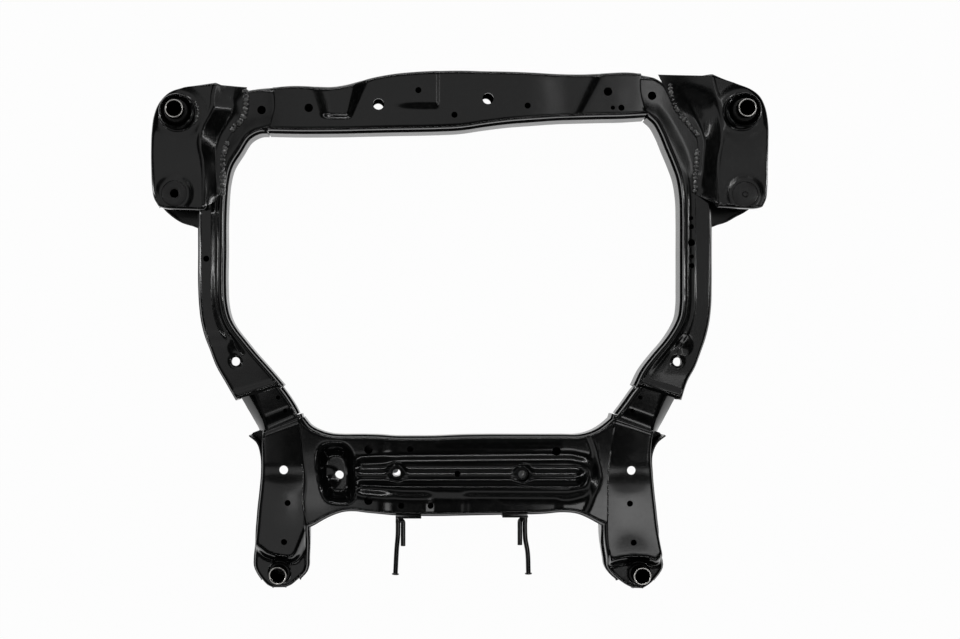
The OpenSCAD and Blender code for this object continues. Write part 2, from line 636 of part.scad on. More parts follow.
// Lower bracket plates: rows of outboard edge across and down, and the place along the rail
left_plate_rows_px = [
    [186, 87.5, 2], [170, 90.5, 2.5], [160, 98, 3], [155, 107, 3.5], [152.6, 122, 4], [152, 140, 4.5],
    [152.2, 162, 5], [153.2, 188, 6], [157, 204.5, 6.6], [173, 213, 7], [189, 222.5, 7.3]
];
right_plate_rows_px = [
    [730, 84, 2], [749, 91, 2.5], [758.5, 98.5, 3], [764, 108, 3.5], [766.8, 124, 4], [767, 140, 4.5],
    [766.8, 162, 5], [766, 188, 6], [762, 204.5, 6.6], [745, 212.5, 7], [724, 222, 7.3]
];
function plate_rows(side) = side == "left" ? left_plate_rows_px : right_plate_rows_px;
plate_shares = [0.33, 0.66];
// The line on which the plate meets the wall of the rail
function seat_line(side, out) =
    let (rows = rail_rows(side), outer = [for (r = rows) at(outer_of(r))])
    [for (i = [0 : len(rows) - 1]) outer[i] - inset_at(outer, i, at(inner_of(rows[i])) - outer[i]) * out];
module bracket_lower(side, axis_px, boss_px) {
    rows = plate_rows(side);
    seat = seat_line(side, sheet + 2 * clearance);
    grid = [for (row = rows) let (
        o = at([row[0], row[1]]),
        w = between(seat, row[2]),
        n = unit_of(w - o)
    ) [for (p = concat(
        [[1, 0, 2 * plate_flange], [1, 0, bend], [1, -bend, 0]],
        [for (s = plate_shares) [1 - s, 0, 0]],
        [[0, bend, 0], [0, 0, bend], [0, 0, plate_flange]]
    )) let (q = o + (w - o) * p[0] + n * p[1]) [q.x, q.y, underside + p[2]]]];
    color([0.1, 0.1, 0.11])
        difference() {
            pressing(for_side(side, grid));
            drill([[axis_px.x, axis_px.y, front_tube_od + 2 * clearance]], underside - bend, underside + bend);
            drill([[boss_px.x, boss_px.y, boss_bore + 2 * clearance]], underside - bend, underside + bend);
        }
}

// A plain ring or tube
module ring(od, id, h) {
    rotate_extrude()
        translate([id / 2, 0])
            square([(od - id) / 2, h]);
}

// Front bushes, from the outside in
front_tube_od = front_can_od + 2 * (clearance + tube_wall);
front_tube_foot = underside - sheet;
front_tube_head = pad_top + tube_rise;
front_can_head = front_tube_head + can_rise;
module front_tube(axis_px) {
    color([0.12, 0.12, 0.13])
        translate([at(axis_px).x, at(axis_px).y, front_tube_foot])
            ring(front_tube_od, front_can_od + 2 * clearance, front_tube_head - front_tube_foot);
}
module front_can(axis_px) {
    foot = front_tube_foot + can_rise;
    lip = can_wall * 2;
    color([0.16, 0.16, 0.17])
        translate([at(axis_px).x, at(axis_px).y, foot])
            rotate_extrude()
                difference() {
                    square([front_can_od / 2, front_can_head - foot]);
                    translate([0, -overrun])
                        square([front_can_od / 2 - can_wall, front_can_head - foot + 2 * overrun]);
                    translate([front_can_od / 2 - lip / 2, front_can_head - foot - lip / 2])
                        difference() {
                            square(lip);
                            circle(r = lip / 2);
                        }
                }
}
module front_rubber(axis_px) {
    low = front_tube_foot + can_rise + overrun;
    inner = front_sleeve_od / 2 + clearance;
    outer = front_can_od / 2 - can_wall - clearance;
    shoulder = front_can_head - can_wall;
    crown = front_sleeve_length - can_rise;
    color([0.05, 0.05, 0.05])
        translate([at(axis_px).x, at(axis_px).y, 0])
            rotate_extrude()
                polygon([
                    [inner, low], [outer, low], [outer, shoulder - can_rise / 2],
                    [inner + (outer - inner) * 3 / 4, shoulder - can_rise], [inner + (outer - inner) / 2, shoulder],
                    [inner + (outer - inner) / 3, crown], [inner, crown]
                ]);
}
module front_sleeve(axis_px) {
    color([0.6, 0.6, 0.62])
        translate([at(axis_px).x, at(axis_px).y, 0])
            ring(front_sleeve_od, front_sleeve_bore, front_sleeve_length);
}

// Rear bushes, from the outside in
rear_tube_od = rear_can_od + 2 * (clearance + sheet);
rear_tube_foot = underside + sheet + clearance;
rear_tube_head = leg_top - nose_drop - 3 * sheet;
rear_can_head = leg_top - nose_drop + can_wall;
module rear_tube(axis_px) {
    color([0.12, 0.12, 0.13])
        translate([at(axis_px).x, at(axis_px).y, rear_tube_foot])
            ring(rear_tube_od, rear_can_od + 2 * clearance, rear_tube_head - rear_tube_foot);
}
module rear_can(axis_px) {
    foot = underside - sheet;
    color([0.16, 0.16, 0.17])
        translate([at(axis_px).x, at(axis_px).y, foot])
            ring(rear_can_od, rear_can_od - 2 * can_wall, rear_can_head - foot);
}
module rear_rubber(axis_px) {
    low = underside - sheet + overrun;
    inner = rear_sleeve_od / 2 + clearance;
    outer = rear_can_od / 2 - can_wall - clearance;
    color([0.05, 0.05, 0.05])
        translate([at(axis_px).x, at(axis_px).y, 0])
            rotate_extrude()
                polygon([
                    [inner, low], [outer, low], [outer, rear_can_head - can_wall],
                    [inner + (outer - inner) / 2, rear_can_head + can_wall],
                    [inner, rear_can_head + 2 * can_wall]
                ]);
}
module rear_sleeve(axis_px) {
    color([0.6, 0.6, 0.62])
        translate([at(axis_px).x, at(axis_px).y, 0])
            ring(rear_sleeve_od, rear_sleeve_bore, rear_sleeve_length);
}

// Bosses that the control-arm bolts pass through
boss_foot = underside + sheet + clearance;
boss_head = pad_top - dish_depth + boss_rise;
module left_arm_boss() {
    color([0.14, 0.14, 0.15])
        translate([at(left_boss_px).x, at(left_boss_px).y, boss_foot])
            ring(boss_od, boss_bore, boss_head - boss_foot);
}
module right_arm_boss() {
    cap = 2 * tube_wall;
    color([0.15, 0.15, 0.16])
        translate([at(right_boss_px).x, at(right_boss_px).y, boss_foot])
            difference() {
                cylinder(d = boss_od, h = boss_head - boss_foot);
                translate([0, 0, -overrun])
                    cylinder(d = boss_bore, h = boss_head - boss_foot - cap + overrun);
                translate([0, 0, boss_head - boss_foot - mark_depth])
                    ring(mark_d, mark_d - 2 * mark_depth, mark_depth + overrun);
            }
}

// Nuts welded under the two outer holes of the front crossmember
module weld_nuts() {
    color([0.2, 0.2, 0.2])
        for (p = front_nut_holes_px)
            translate([at(p).x, at(p).y, front_top + front_form(p) - sheet - clearance - nut_height])
                difference() {
                    cylinder(d = nut_size, h = nut_height, $fn = 6);
                    translate([0, 0, -overrun])
                        cylinder(d = middle_hole, h = nut_height + 2 * overrun);
                }
}

// Exhaust hangers: a foot plate behind the rear crossmember, and a bent rod welded to it
left_hanger_px = [400.5, 515.8];
right_hanger_px = [524, 514.8];
hanger_z = rear_top - skirt / 2;
foot_length = 42;
lean = 2.4;
module hanger_plate(place_px, toward) {
    wall = sheet + 2 * clearance;
    color([0.1, 0.1, 0.11])
        translate([at(place_px).x, at(place_px).y - wall - foot_sheet, hanger_z - foot_height / 2])
            translate([toward > 0 ? -rod_d : rod_d - foot_length, 0, 0])
                cube([foot_length, foot_sheet, foot_height]);
}
// The rod is bent double at the plate, and leans outward
module hanger_rod(place_px, toward) {
    wall = sheet + 3 * clearance + foot_sheet;
    turn = rod_d / 2 + clearance;
    root = rod_d / 2 + turn;
    color([0.1, 0.1, 0.11])
        translate([at(place_px).x, at(place_px).y - wall - root, hanger_z])
            rotate([0, 0, -toward * lean]) {
                rotate_extrude(angle = 180)
                    translate([turn, 0])
                        circle(d = rod_d);
                rotate([90, 0, 0]) {
                    translate([toward * turn, 0, 0])
                        cylinder(d = rod_d, h = short_leg - root);
                    translate([-toward * turn, 0, 0])
                        cylinder(d = rod_d, h = long_leg - root);
                    translate([-toward * turn, 0, long_leg - root])
                        cylinder(d = tip_d, h = tip_d / 4);
                }
            }
}

front_crossmember_upper();
front_crossmember_lower();
rail_upper("left", left_rail_holes);  // left_rail_upper
rail_upper("right", right_rail_holes);  // right_rail_upper
rail_lower("left", left_rail_through);  // left_rail_lower
rail_lower("right", right_rail_through);  // right_rail_lower
link_upper("left", left_link_holes);  // left_link_upper
link_upper("right", right_link_holes);  // right_link_upper
link_lower("left");  // left_link_lower
link_lower("right");  // right_link_lower
leg_upper("left", left_rear_axis_px, left_leg_holes);  // left_leg_upper
leg_upper("right", right_rear_axis_px, right_leg_holes);  // right_leg_upper
leg_lower("left", left_rear_axis_px, left_leg_through);  // left_leg_lower
leg_lower("right", right_rear_axis_px, right_leg_through);  // right_leg_lower
rear_crossmember_upper();
rear_crossmember_lower();
bracket_upper("left", left_front_axis_px, left_boss_px);  // left_bracket_upper
bracket_upper("right", right_front_axis_px, right_boss_px);  // right_bracket_upper
bracket_lower("left", left_front_axis_px, left_boss_px);  // left_bracket_lower
bracket_lower("right", right_front_axis_px, right_boss_px);  // right_bracket_lower
front_tube(left_front_axis_px);  // left_front_tube
front_tube(right_front_axis_px);  // right_front_tube
front_can(left_front_axis_px);  // left_front_can
front_can(right_front_axis_px);  // right_front_can
front_rubber(left_front_axis_px);  // left_front_rubber
front_rubber(right_front_axis_px);  // right_front_rubber
front_sleeve(left_front_axis_px);  // left_front_sleeve
front_sleeve(right_front_axis_px);  // right_front_sleeve
rear_tube(left_rear_axis_px);  // left_rear_tube
rear_tube(right_rear_axis_px);  // right_rear_tube
rear_can(left_rear_axis_px);  // left_rear_can
rear_can(right_rear_axis_px);  // right_rear_can
rear_rubber(left_rear_axis_px);  // left_rear_rubber
rear_rubber(right_rear_axis_px);  // right_rear_rubber
rear_sleeve(left_rear_axis_px);  // left_rear_sleeve
rear_sleeve(right_rear_axis_px);  // right_rear_sleeve
left_arm_boss();
right_arm_boss();
hanger_plate(left_hanger_px, 1);  // left_hanger_plate
hanger_plate(right_hanger_px, -1);  // right_hanger_plate
hanger_rod(left_hanger_px, 1);  // left_hanger_rod
hanger_rod(right_hanger_px, -1);  // right_hanger_rod
steering_mount_collars();
weld_nuts();
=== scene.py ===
# %% [markdown]
# # A welded front subframe
# A subframe is the steel ring under the front of a vehicle. It is pressed from sheet and welded:
# each member is a box of an upper and a lower shell, dipped in black paint. Each piece is made
# here in the order of a workshop: press the sheet, punch it, weld it, paint it.

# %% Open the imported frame
import math

import bpy
import numpy as np
from mathutils import Matrix, Vector


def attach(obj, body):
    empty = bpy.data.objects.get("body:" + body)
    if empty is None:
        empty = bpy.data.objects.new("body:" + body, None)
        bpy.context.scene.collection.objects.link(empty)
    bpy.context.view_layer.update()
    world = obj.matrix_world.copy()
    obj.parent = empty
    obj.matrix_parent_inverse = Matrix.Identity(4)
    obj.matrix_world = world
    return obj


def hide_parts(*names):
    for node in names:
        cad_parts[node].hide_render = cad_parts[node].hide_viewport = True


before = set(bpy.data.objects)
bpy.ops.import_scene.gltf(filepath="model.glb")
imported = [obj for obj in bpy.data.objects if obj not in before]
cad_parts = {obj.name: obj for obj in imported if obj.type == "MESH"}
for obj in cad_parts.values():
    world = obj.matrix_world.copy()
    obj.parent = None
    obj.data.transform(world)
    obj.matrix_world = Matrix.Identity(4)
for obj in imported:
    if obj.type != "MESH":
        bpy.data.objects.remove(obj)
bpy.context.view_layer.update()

# %% [markdown]
# ## The camera
# The photograph was taken from straight above, with the camera nearer to the left rear of the
# frame than to its middle. A tilted camera would make the far side smaller, which the photograph
# doesn't show, so the camera looks straight down and its lens is shifted to frame the object.

# %% Place the camera
PICTURE = (960, 639)
ACROSS, ALONG = 1.003 / 617, 0.864 / 531.5
MIDDLE = (459.55, 333.06)
CAMERA_FOOT = (400, 370)
CAMERA_HEIGHT = 2.18
PLAN_HEIGHT = 0.08
SENSOR = 36


def to_metres(points):
    """Places in the frame, in metres, of points of the photograph."""
    p = np.asarray(points, float)
    return np.stack([(p[..., 0] - MIDDLE[0]) * ACROSS, (MIDDLE[1] - p[..., 1]) * ALONG], -1)


def to_picture(places):
    """Points of the photograph of places in metres."""
    q = np.asarray(places, float)
    return q[..., 0] / ACROSS + MIDDLE[0], MIDDLE[1] - q[..., 1] / ALONG


foot = to_metres(CAMERA_FOOT)
bpy.ops.object.camera_add(location=(foot[0], foot[1], CAMERA_HEIGHT), rotation=(0, 0, 0))
camera = bpy.context.object
camera.data.sensor_width = SENSOR
camera.data.lens = SENSOR * (CAMERA_HEIGHT - PLAN_HEIGHT) / ACROSS / PICTURE[0]
camera.data.shift_x = (PICTURE[0] / 2 - CAMERA_FOOT[0]) / PICTURE[0]
camera.data.shift_y = (CAMERA_FOOT[1] - PICTURE[1] / 2) / PICTURE[0]
bpy.context.scene.camera = camera
print("lens", round(camera.data.lens, 2), "shift", camera.data.shift_x, camera.data.shift_y)

# %% [markdown]
# ## The lamps
# Black gloss paint shows what stands round it more than its own colour. Straight above, round the
# camera, a studio is dark, and soft boxes stand in a ring round that dark spot. Low, strong boxes
# at the sides draw the bright lines along the folds. Each overhead box is given by its edges as
# seen from the foot of the camera, because that tells which flat faces it lights up.

# %% Light the studio
CEILING = 2.3


def soft_box(name, place, size, glow, aim=(0, 0, 0.06)):
    """An area light of a given glow, the brightness at which a mirror would show it."""
    bpy.ops.object.light_add(type="AREA", location=place)
    lamp = bpy.context.object
    lamp.name = name
    lamp.data.shape = "RECTANGLE"
    lamp.data.size, lamp.data.size_y = size
    lamp.data.energy = glow * math.pi * size[0] * size[1]
    lamp.rotation_euler = (Vector(place) - Vector(aim)).to_track_quat("Z", "Y").to_euler()
    lamp.visible_camera = False
    return lamp


def ceiling_box(name, left, right, rear, front, glow):
    """A soft box overhead, by its edges as seen from the foot of the camera."""
    middle = (foot[0] + (left + right) / 2, foot[1] + (rear + front) / 2, CEILING)
    box = soft_box(name, middle, (right - left, front - rear), glow)
    box.rotation_euler = (0, 0, 0)


CEILING_BOXES = {
    "left_box": (-1.05, -0.44, -0.09, 1.15, 0.42),
    "front_box": (-0.42, 0.78, 0.66, 1.2, 0.42),
    "right_box": (0.88, 1.75, 0.04, 1.2, 0.36),
    "right_middle_glow": (0.87, 1.04, -0.06, 0.05, 2.2),
    "front_right_glow": (0.8, 0.93, 0.6, 1.1, 3.0),
    "rear_left_glow": (-0.34, -0.24, -0.47, -0.36, 2.4),
    "left_low_glow": (-0.82, -0.62, 0.585, 0.655, 1.1),
    "left_rear_box": (-0.75, -0.07, -0.85, -0.28, 0.52),
    "right_rear_box": (0.52, 1.2, -0.63, -0.37, 2.8)}
STRIPS = {
    "left_strip": ((-2.1, 0.3, 2.0), (0.04, 1.8), 14.0),
    "right_strip": ((2.1, 0.3, 2.0), (0.04, 1.8), 14.0),
    "front_strip": ((0.0, 2.2, 2.0), (2.4, 0.06), 16.0),
    "rear_strip": ((0.0, -2.2, 2.0), (2.0, 0.06), 12.0),
    "low_left_strip": ((-2.5, 0.3, 0.75), (0.12, 1.6), 12.0),
    "low_right_strip": ((2.5, 0.5, 0.8), (0.12, 1.4), 12.0),
    "low_front_strip": ((-0.2, 2.6, 0.8), (2.0, 0.12), 12.0)}
for name, edges_and_glow in CEILING_BOXES.items():
    ceiling_box(name, *edges_and_glow)
for name, place_size_glow in STRIPS.items():
    soft_box(name, *place_size_glow)

# %% [markdown]
# ## The room behind the lamps
# A camera ray that misses everything sees plain white paper. All other rays see a dark room with
# a few dim patches, so the paint has something faint to mirror between the soft boxes.

# %% Build the world
DIM_ROOM = 0.1

world = bpy.data.worlds.new("studio")
bpy.context.scene.world = world
world.use_nodes = True
tree = world.node_tree
tree.nodes.clear()
out = tree.nodes.new("ShaderNodeOutputWorld")
path = tree.nodes.new("ShaderNodeLightPath")
dim = tree.nodes.new("ShaderNodeBackground")
look = tree.nodes.new("ShaderNodeTexCoord")
patches = tree.nodes.new("ShaderNodeTexNoise")
patches.inputs["Scale"].default_value = 3.2
patches.inputs["Detail"].default_value = 2
ramp = tree.nodes.new("ShaderNodeValToRGB")
ramp.color_ramp.elements[0].position = 0.47
ramp.color_ramp.elements[1].position = 0.72
tree.links.new(look.outputs["Generated"], patches.inputs["Vector"])
tree.links.new(patches.outputs["Fac"], ramp.inputs["Fac"])
tree.links.new(ramp.outputs["Color"], dim.inputs["Color"])
dim.inputs["Strength"].default_value = DIM_ROOM
white = tree.nodes.new("ShaderNodeBackground")
white.inputs["Color"].default_value = (1, 1, 1, 1)
white.inputs["Strength"].default_value = 1.0
either_room = tree.nodes.new("ShaderNodeMixShader")
tree.links.new(path.outputs["Is Camera Ray"], either_room.inputs["Fac"])
tree.links.new(dim.outputs["Background"], either_room.inputs[1])
tree.links.new(white.outputs["Background"], either_room.inputs[2])
tree.links.new(either_room.outputs["Shader"], out.inputs["Surface"])
bpy.context.scene.view_settings.view_transform = "Standard"
print("world:", world.name, "with", len(tree.nodes), "nodes")

# %% [markdown]
# ## The floor
# The object lies on white paper. To the camera, and in reflections, the paper glows nearly white,
# and a small matt share keeps the shadow. Where the camera looks down a bore, the paper is only
# matt, because little light reaches the bottom of a tube.

# %% Lay the floor
PAPER_GLOW_SHARE = 0.975
BORES = [
    ((178.6, 113.8), 0.013), ((740.3, 113), 0.013), ((277.7, 575.6), 0.0127), ((642.4, 576.2), 0.0127),
    ((175, 194), 0.008), ((523.6, 475.5), 0.0085), ((394.5, 473.2), 0.006)]
bpy.ops.object.select_all(action="DESELECT")
bpy.ops.mesh.primitive_plane_add(size=14, location=(0, 0, 0))
floor = bpy.context.object
floor.name = "floor"
paper = bpy.data.materials.new("white_paper")
paper.use_nodes = True
tree = paper.node_tree
tree.nodes.clear()
out = tree.nodes.new("ShaderNodeOutputMaterial")
path = tree.nodes.new("ShaderNodeLightPath")
either = tree.nodes.new("ShaderNodeMath")
either.operation = "MAXIMUM"
share = tree.nodes.new("ShaderNodeMath")
share.operation = "MULTIPLY"
share.inputs[1].default_value = PAPER_GLOW_SHARE
matt = tree.nodes.new("ShaderNodeBsdfDiffuse")
matt.inputs["Color"].default_value = (0.86, 0.86, 0.86, 1)
glow = tree.nodes.new("ShaderNodeEmission")
glow.inputs["Strength"].default_value = 1.0
blend = tree.nodes.new("ShaderNodeMixShader")
tree.links.new(path.outputs["Is Camera Ray"], either.inputs[0])
tree.links.new(path.outputs["Is Glossy Ray"], either.inputs[1])
spot = tree.nodes.new("ShaderNodeTexCoord")
open_floor = either.outputs[0]
for axis_px, radius in BORES:
    reach = tree.nodes.new("ShaderNodeVectorMath")
    reach.operation = "DISTANCE"
    reach.inputs[1].default_value = (*to_metres(axis_px), 0)
    outside = tree.nodes.new("ShaderNodeMath")
    outside.operation = "GREATER_THAN"
    outside.inputs[1].default_value = radius
    keep = tree.nodes.new("ShaderNodeMath")
    keep.operation = "MULTIPLY"
    tree.links.new(spot.outputs["Object"], reach.inputs[0])
    tree.links.new(reach.outputs["Value"], outside.inputs[0])
    tree.links.new(open_floor, keep.inputs[0])
    tree.links.new(outside.outputs[0], keep.inputs[1])
    open_floor = keep.outputs[0]
tree.links.new(open_floor, share.inputs[0])
tree.links.new(share.outputs[0], blend.inputs["Fac"])
tree.links.new(matt.outputs[0], blend.inputs[1])
tree.links.new(glow.outputs[0], blend.inputs[2])
tree.links.new(blend.outputs[0], out.inputs["Surface"])
floor.data.materials.append(paper)
print("floor:", floor.name, "with", len(BORES), "bores kept dark")

# %% [markdown]
# ## The shared effects
# Dipped paint has a fine orange peel, a slow waviness from the press, dust and a few thin
# scuffs. Several finishes share these, so each is a node group with named inputs.

# %% Help with groups
def new_group(name, inputs, outputs):
    """An empty shader group with float inputs (name: value) and float outputs."""
    group = bpy.data.node_groups.new(name, "ShaderNodeTree")
    for label, value in inputs.items():
        socket = group.interface.new_socket(name=label, in_out="INPUT", socket_type="NodeSocketFloat")
        socket.default_value = value
    for label in outputs:
        group.interface.new_socket(name=label, in_out="OUTPUT", socket_type="NodeSocketFloat")
    return group, group.nodes.new("NodeGroupInput"), group.nodes.new("NodeGroupOutput")


def add_math(tree, kind, first, second, clamp=False):
    """A Math node; a number or a socket goes into each side."""
    node = tree.nodes.new("ShaderNodeMath")
    node.operation = kind
    node.use_clamp = clamp
    for slot, value in zip(node.inputs, (first, second)):
        if isinstance(value, (int, float)):
            slot.default_value = value
        else:
            tree.links.new(value, slot)
    return node.outputs[0]


def add_noise(tree, scale, detail, rough=0.5):
    """Noise on object coordinates; its scale may be a number or a socket."""
    place = tree.nodes.new("ShaderNodeTexCoord")
    noise = tree.nodes.new("ShaderNodeTexNoise")
    noise.inputs["Detail"].default_value = detail
    noise.inputs["Roughness"].default_value = rough
    tree.links.new(place.outputs["Object"], noise.inputs["Vector"])
    if isinstance(scale, (int, float)):
        noise.inputs["Scale"].default_value = scale
    else:
        tree.links.new(scale, noise.inputs["Scale"])
    return noise.outputs["Fac"]


print("helpers for groups ready")

# %% [markdown]
# ## The skin of the paint
# Orange peel is fine noise, and the waviness of the sheet is slow noise. Both add up to a height,
# which each finish feeds to its own bump, so one group serves paint, rubber and steel.

# %% Group: skin
skin_group, given, result = new_group(
    "paint_skin", {"Peel scale": 420, "Peel depth": 0.3, "Wave scale": 22, "Wave depth": 1.0}, ["Height"])
peel = add_noise(skin_group, given.outputs["Peel scale"], 2)
peel = add_math(skin_group, "MULTIPLY", peel, given.outputs["Peel depth"])
wave = add_noise(skin_group, given.outputs["Wave scale"], 1)
wave = add_math(skin_group, "MULTIPLY", wave, given.outputs["Wave depth"])
skin_group.links.new(add_math(skin_group, "ADD", peel, wave), result.inputs["Height"])

print("group:", skin_group.name)

# %% [markdown]
# ## Dust
# Dust settles on what looks up and gathers in clouds. The mask is fine specks, thinned by slow
# noise and by how far the surface faces the sky.

# %% Group: dust
dust_group, given, result = new_group("dust", {"Amount": 0.3, "Scale": 160}, ["Mask"])
speck = add_noise(dust_group, given.outputs["Scale"], 6, 0.7)
cloud = add_noise(dust_group, 9, 3)
facing = dust_group.nodes.new("ShaderNodeNewGeometry")
split = dust_group.nodes.new("ShaderNodeSeparateXYZ")
dust_group.links.new(facing.outputs["Normal"], split.inputs[0])
up = add_math(dust_group, "MAXIMUM", split.outputs["Z"], 0)
specks = add_math(dust_group, "MULTIPLY", add_math(dust_group, "SUBTRACT", speck, 0.5), 4, True)
mask = add_math(dust_group, "MULTIPLY", add_math(dust_group, "MULTIPLY", specks, cloud), up)
mask = add_math(dust_group, "MULTIPLY", mask, given.outputs["Amount"], True)
dust_group.links.new(mask, result.inputs["Mask"])

print("group:", dust_group.name)

# %% [markdown]
# ## Worn edges and glints
# Paint is thinnest on a sharp edge. Pointiness finds the edges, and noise breaks them up, so the
# wear comes in patches. On the weld beads, whose worn colour is light grey, the same mask also
# paints glints on the sharp edges of the ripples.

# %% Group: edge wear and glints
wear_and_glint_group, given, result = new_group("edge_wear_and_glints", {"Amount": 0.5, "Scale": 90}, ["Mask"])
shape = wear_and_glint_group.nodes.new("ShaderNodeNewGeometry")
edge = add_math(wear_and_glint_group, "SUBTRACT", shape.outputs["Pointiness"], 0.53)
edge = add_math(wear_and_glint_group, "MULTIPLY", edge, 12, True)
patchy = add_math(wear_and_glint_group, "MULTIPLY", add_math(
    wear_and_glint_group, "SUBTRACT", add_noise(wear_and_glint_group, given.outputs["Scale"], 5, 0.65), 0.42), 5, True)
worn = add_math(wear_and_glint_group, "MULTIPLY", edge, patchy)
worn = add_math(wear_and_glint_group, "MULTIPLY", worn, given.outputs["Amount"], True)
wear_and_glint_group.links.new(worn, result.inputs["Mask"])

print("group:", wear_and_glint_group.name)

# %% [markdown]
# ## Scuffs
# Handling leaves a few thin lines in one direction. They are noise stretched across that direction,
# of which only the peaks are kept.

# %% Group: scuffs
scuff_group, given, result = new_group("scuffs", {"Amount": 0.2, "Scale": 30}, ["Mask"])
spot = scuff_group.nodes.new("ShaderNodeTexCoord")
stretch = scuff_group.nodes.new("ShaderNodeMapping")
stretch.inputs["Rotation"].default_value = (0, 0, 0.6)
stretch.inputs["Scale"].default_value = (1, 14, 1)
scuff_group.links.new(spot.outputs["Object"], stretch.inputs["Vector"])
lines = scuff_group.nodes.new("ShaderNodeTexNoise")
lines.inputs["Detail"].default_value = 5
scuff_group.links.new(stretch.outputs["Vector"], lines.inputs["Vector"])
scuff_group.links.new(given.outputs["Scale"], lines.inputs["Scale"])
thin = add_math(scuff_group, "SUBTRACT", lines.outputs["Fac"], 0.62)
thin = add_math(scuff_group, "MULTIPLY", thin, 9, True)
thin = add_math(scuff_group, "MULTIPLY", thin, given.outputs["Amount"], True)
scuff_group.links.new(thin, result.inputs["Mask"])
print("groups:", [g.name for g in bpy.data.node_groups])

# %% [markdown]
# ## The finishes
# One function makes every finish from a Principled shader and the shared groups. A finish differs
# by its colours, the span of its roughness, its bump and its coat. Dipped paint is nearly black
# and glossy under a thin coat, the inside of the trays is duller, and rubber is matt. The walls of
# bores get painted shade: a near-black finish with no gloss.

# %% Mix the finishes
COAT_ROUGHNESS = 0.06
SCUFF_DULLS, DUST_DULLS = 0.25, 0.4


def use_group(tree, group, **values):
    """Places a shared group in a material with its own values; an underscore stands for a space."""
    node = tree.nodes.new("ShaderNodeGroup")
    node.node_tree = group
    for label, value in values.items():
        node.inputs[label.replace("_", " ")].default_value = value
    return node


def mix_colours(tree, mask, first, second):
    """A colour between two, by a mask."""
    node = tree.nodes.new("ShaderNodeMix")
    node.data_type = "RGBA"
    tree.links.new(mask, node.inputs["Factor"])
    for name, value in (("A", first), ("B", second)):
        slot = [s for s in node.inputs if s.name == name and s.type == "RGBA"][0]
        if isinstance(value, tuple):
            slot.default_value = value
        else:
            tree.links.new(value, slot)
    return [s for s in node.outputs if s.type == "RGBA"][0]


def new_finish(name, colour, dusty, worn, rough, spread, bump, skin,
               metal=0.0, coat=0.0, gloss=0.5, amount=(0.3, 0.4, 0.2)):
    """A finish: its colour, the colours of its dust and worn edges, and the span of its roughness.
    Amount holds the shares of dust, edge wear and scuffs."""
    made = bpy.data.materials.new(name)
    made.use_nodes = True
    tree = made.node_tree
    base = tree.nodes["Principled BSDF"]
    base.inputs["Metallic"].default_value = metal
    base.inputs["Coat Weight"].default_value = coat
    base.inputs["Coat Roughness"].default_value = COAT_ROUGHNESS
    base.inputs["Specular IOR Level"].default_value = gloss
    dust = use_group(tree, dust_group, Amount=amount[0])
    wear = use_group(tree, wear_and_glint_group, Amount=amount[1])
    scuff = use_group(tree, scuff_group, Amount=amount[2])
    tone = add_noise(tree, 14, 4)
    varied = mix_colours(tree, tone, colour, tuple(c * 1.7 for c in colour[:3]) + (1,))
    dusted = mix_colours(tree, dust.outputs["Mask"], varied, dusty)
    final = mix_colours(tree, wear.outputs["Mask"], dusted, worn)
    tree.links.new(final, base.inputs["Base Color"])
    roughness = add_math(tree, "ADD", add_math(tree, "MULTIPLY", tone, spread), rough - spread / 2)
    scuffed = add_math(tree, "MULTIPLY", scuff.outputs["Mask"], SCUFF_DULLS)
    roughness = add_math(tree, "ADD", roughness, scuffed)
    settled = add_math(tree, "MULTIPLY", dust.outputs["Mask"], DUST_DULLS)
    roughness = add_math(tree, "ADD", roughness, settled, True)
    tree.links.new(roughness, base.inputs["Roughness"])
    height = use_group(tree, skin_group, **skin)
    dent = tree.nodes.new("ShaderNodeBump")
    dent.inputs["Strength"].default_value = 1.0
    dent.inputs["Distance"].default_value = bump
    tree.links.new(height.outputs["Height"], dent.inputs["Height"])
    tree.links.new(dent.outputs["Normal"], base.inputs["Normal"])
    return made


black_paint = new_finish(
    "black_dip_paint", (0.0022, 0.0024, 0.0025, 1), (0.07, 0.07, 0.065, 1), (0.05, 0.05, 0.052, 1),
    0.14, 0.08, 0.0006, dict(Peel_scale=520, Peel_depth=0.035, Wave_scale=16, Wave_depth=1.0), coat=0.35, gloss=0.45)
under_paint = new_finish(
    "black_dip_paint_inside", (0.0022, 0.0024, 0.0025, 1), (0.06, 0.06, 0.055, 1), (0.05, 0.05, 0.052, 1),
    0.28, 0.14, 0.0004, dict(Peel_scale=460, Peel_depth=0.08, Wave_scale=26, Wave_depth=1.0), coat=0.2, gloss=0.45)
# The light grey worn colour of the welds is partly worn paint and partly painted glints on the ripple edges.
weld_paint_with_glints = new_finish(
    "painted_weld", (0.014, 0.014, 0.015, 1), (0.16, 0.16, 0.15, 1), (0.4, 0.4, 0.39, 1), 0.14, 0.2,
    0.0012, dict(Peel_scale=900, Peel_depth=0.5, Wave_scale=420, Wave_depth=0.8), coat=1.0, gloss=1.0,
    amount=(0.6, 0.9, 0.3))
rubber_black = new_finish(
    "bush_rubber", (0.006, 0.006, 0.006, 1), (0.09, 0.085, 0.08, 1), (0.02, 0.02, 0.02, 1), 0.5, 0.16,
    0.0003, dict(Peel_scale=1400, Peel_depth=0.5, Wave_scale=60, Wave_depth=0.6),
    gloss=0.3, amount=(0.5, 0.3, 0.3))
bare_steel = new_finish(
    "turned_steel", (0.5, 0.49, 0.47, 1), (0.3, 0.28, 0.25, 1), (0.75, 0.74, 0.72, 1), 0.26, 0.16,
    0.0002, dict(Peel_scale=1800, Peel_depth=0.4, Wave_scale=200, Wave_depth=0.3),
    metal=1.0, amount=(0.25, 0.5, 0.5))
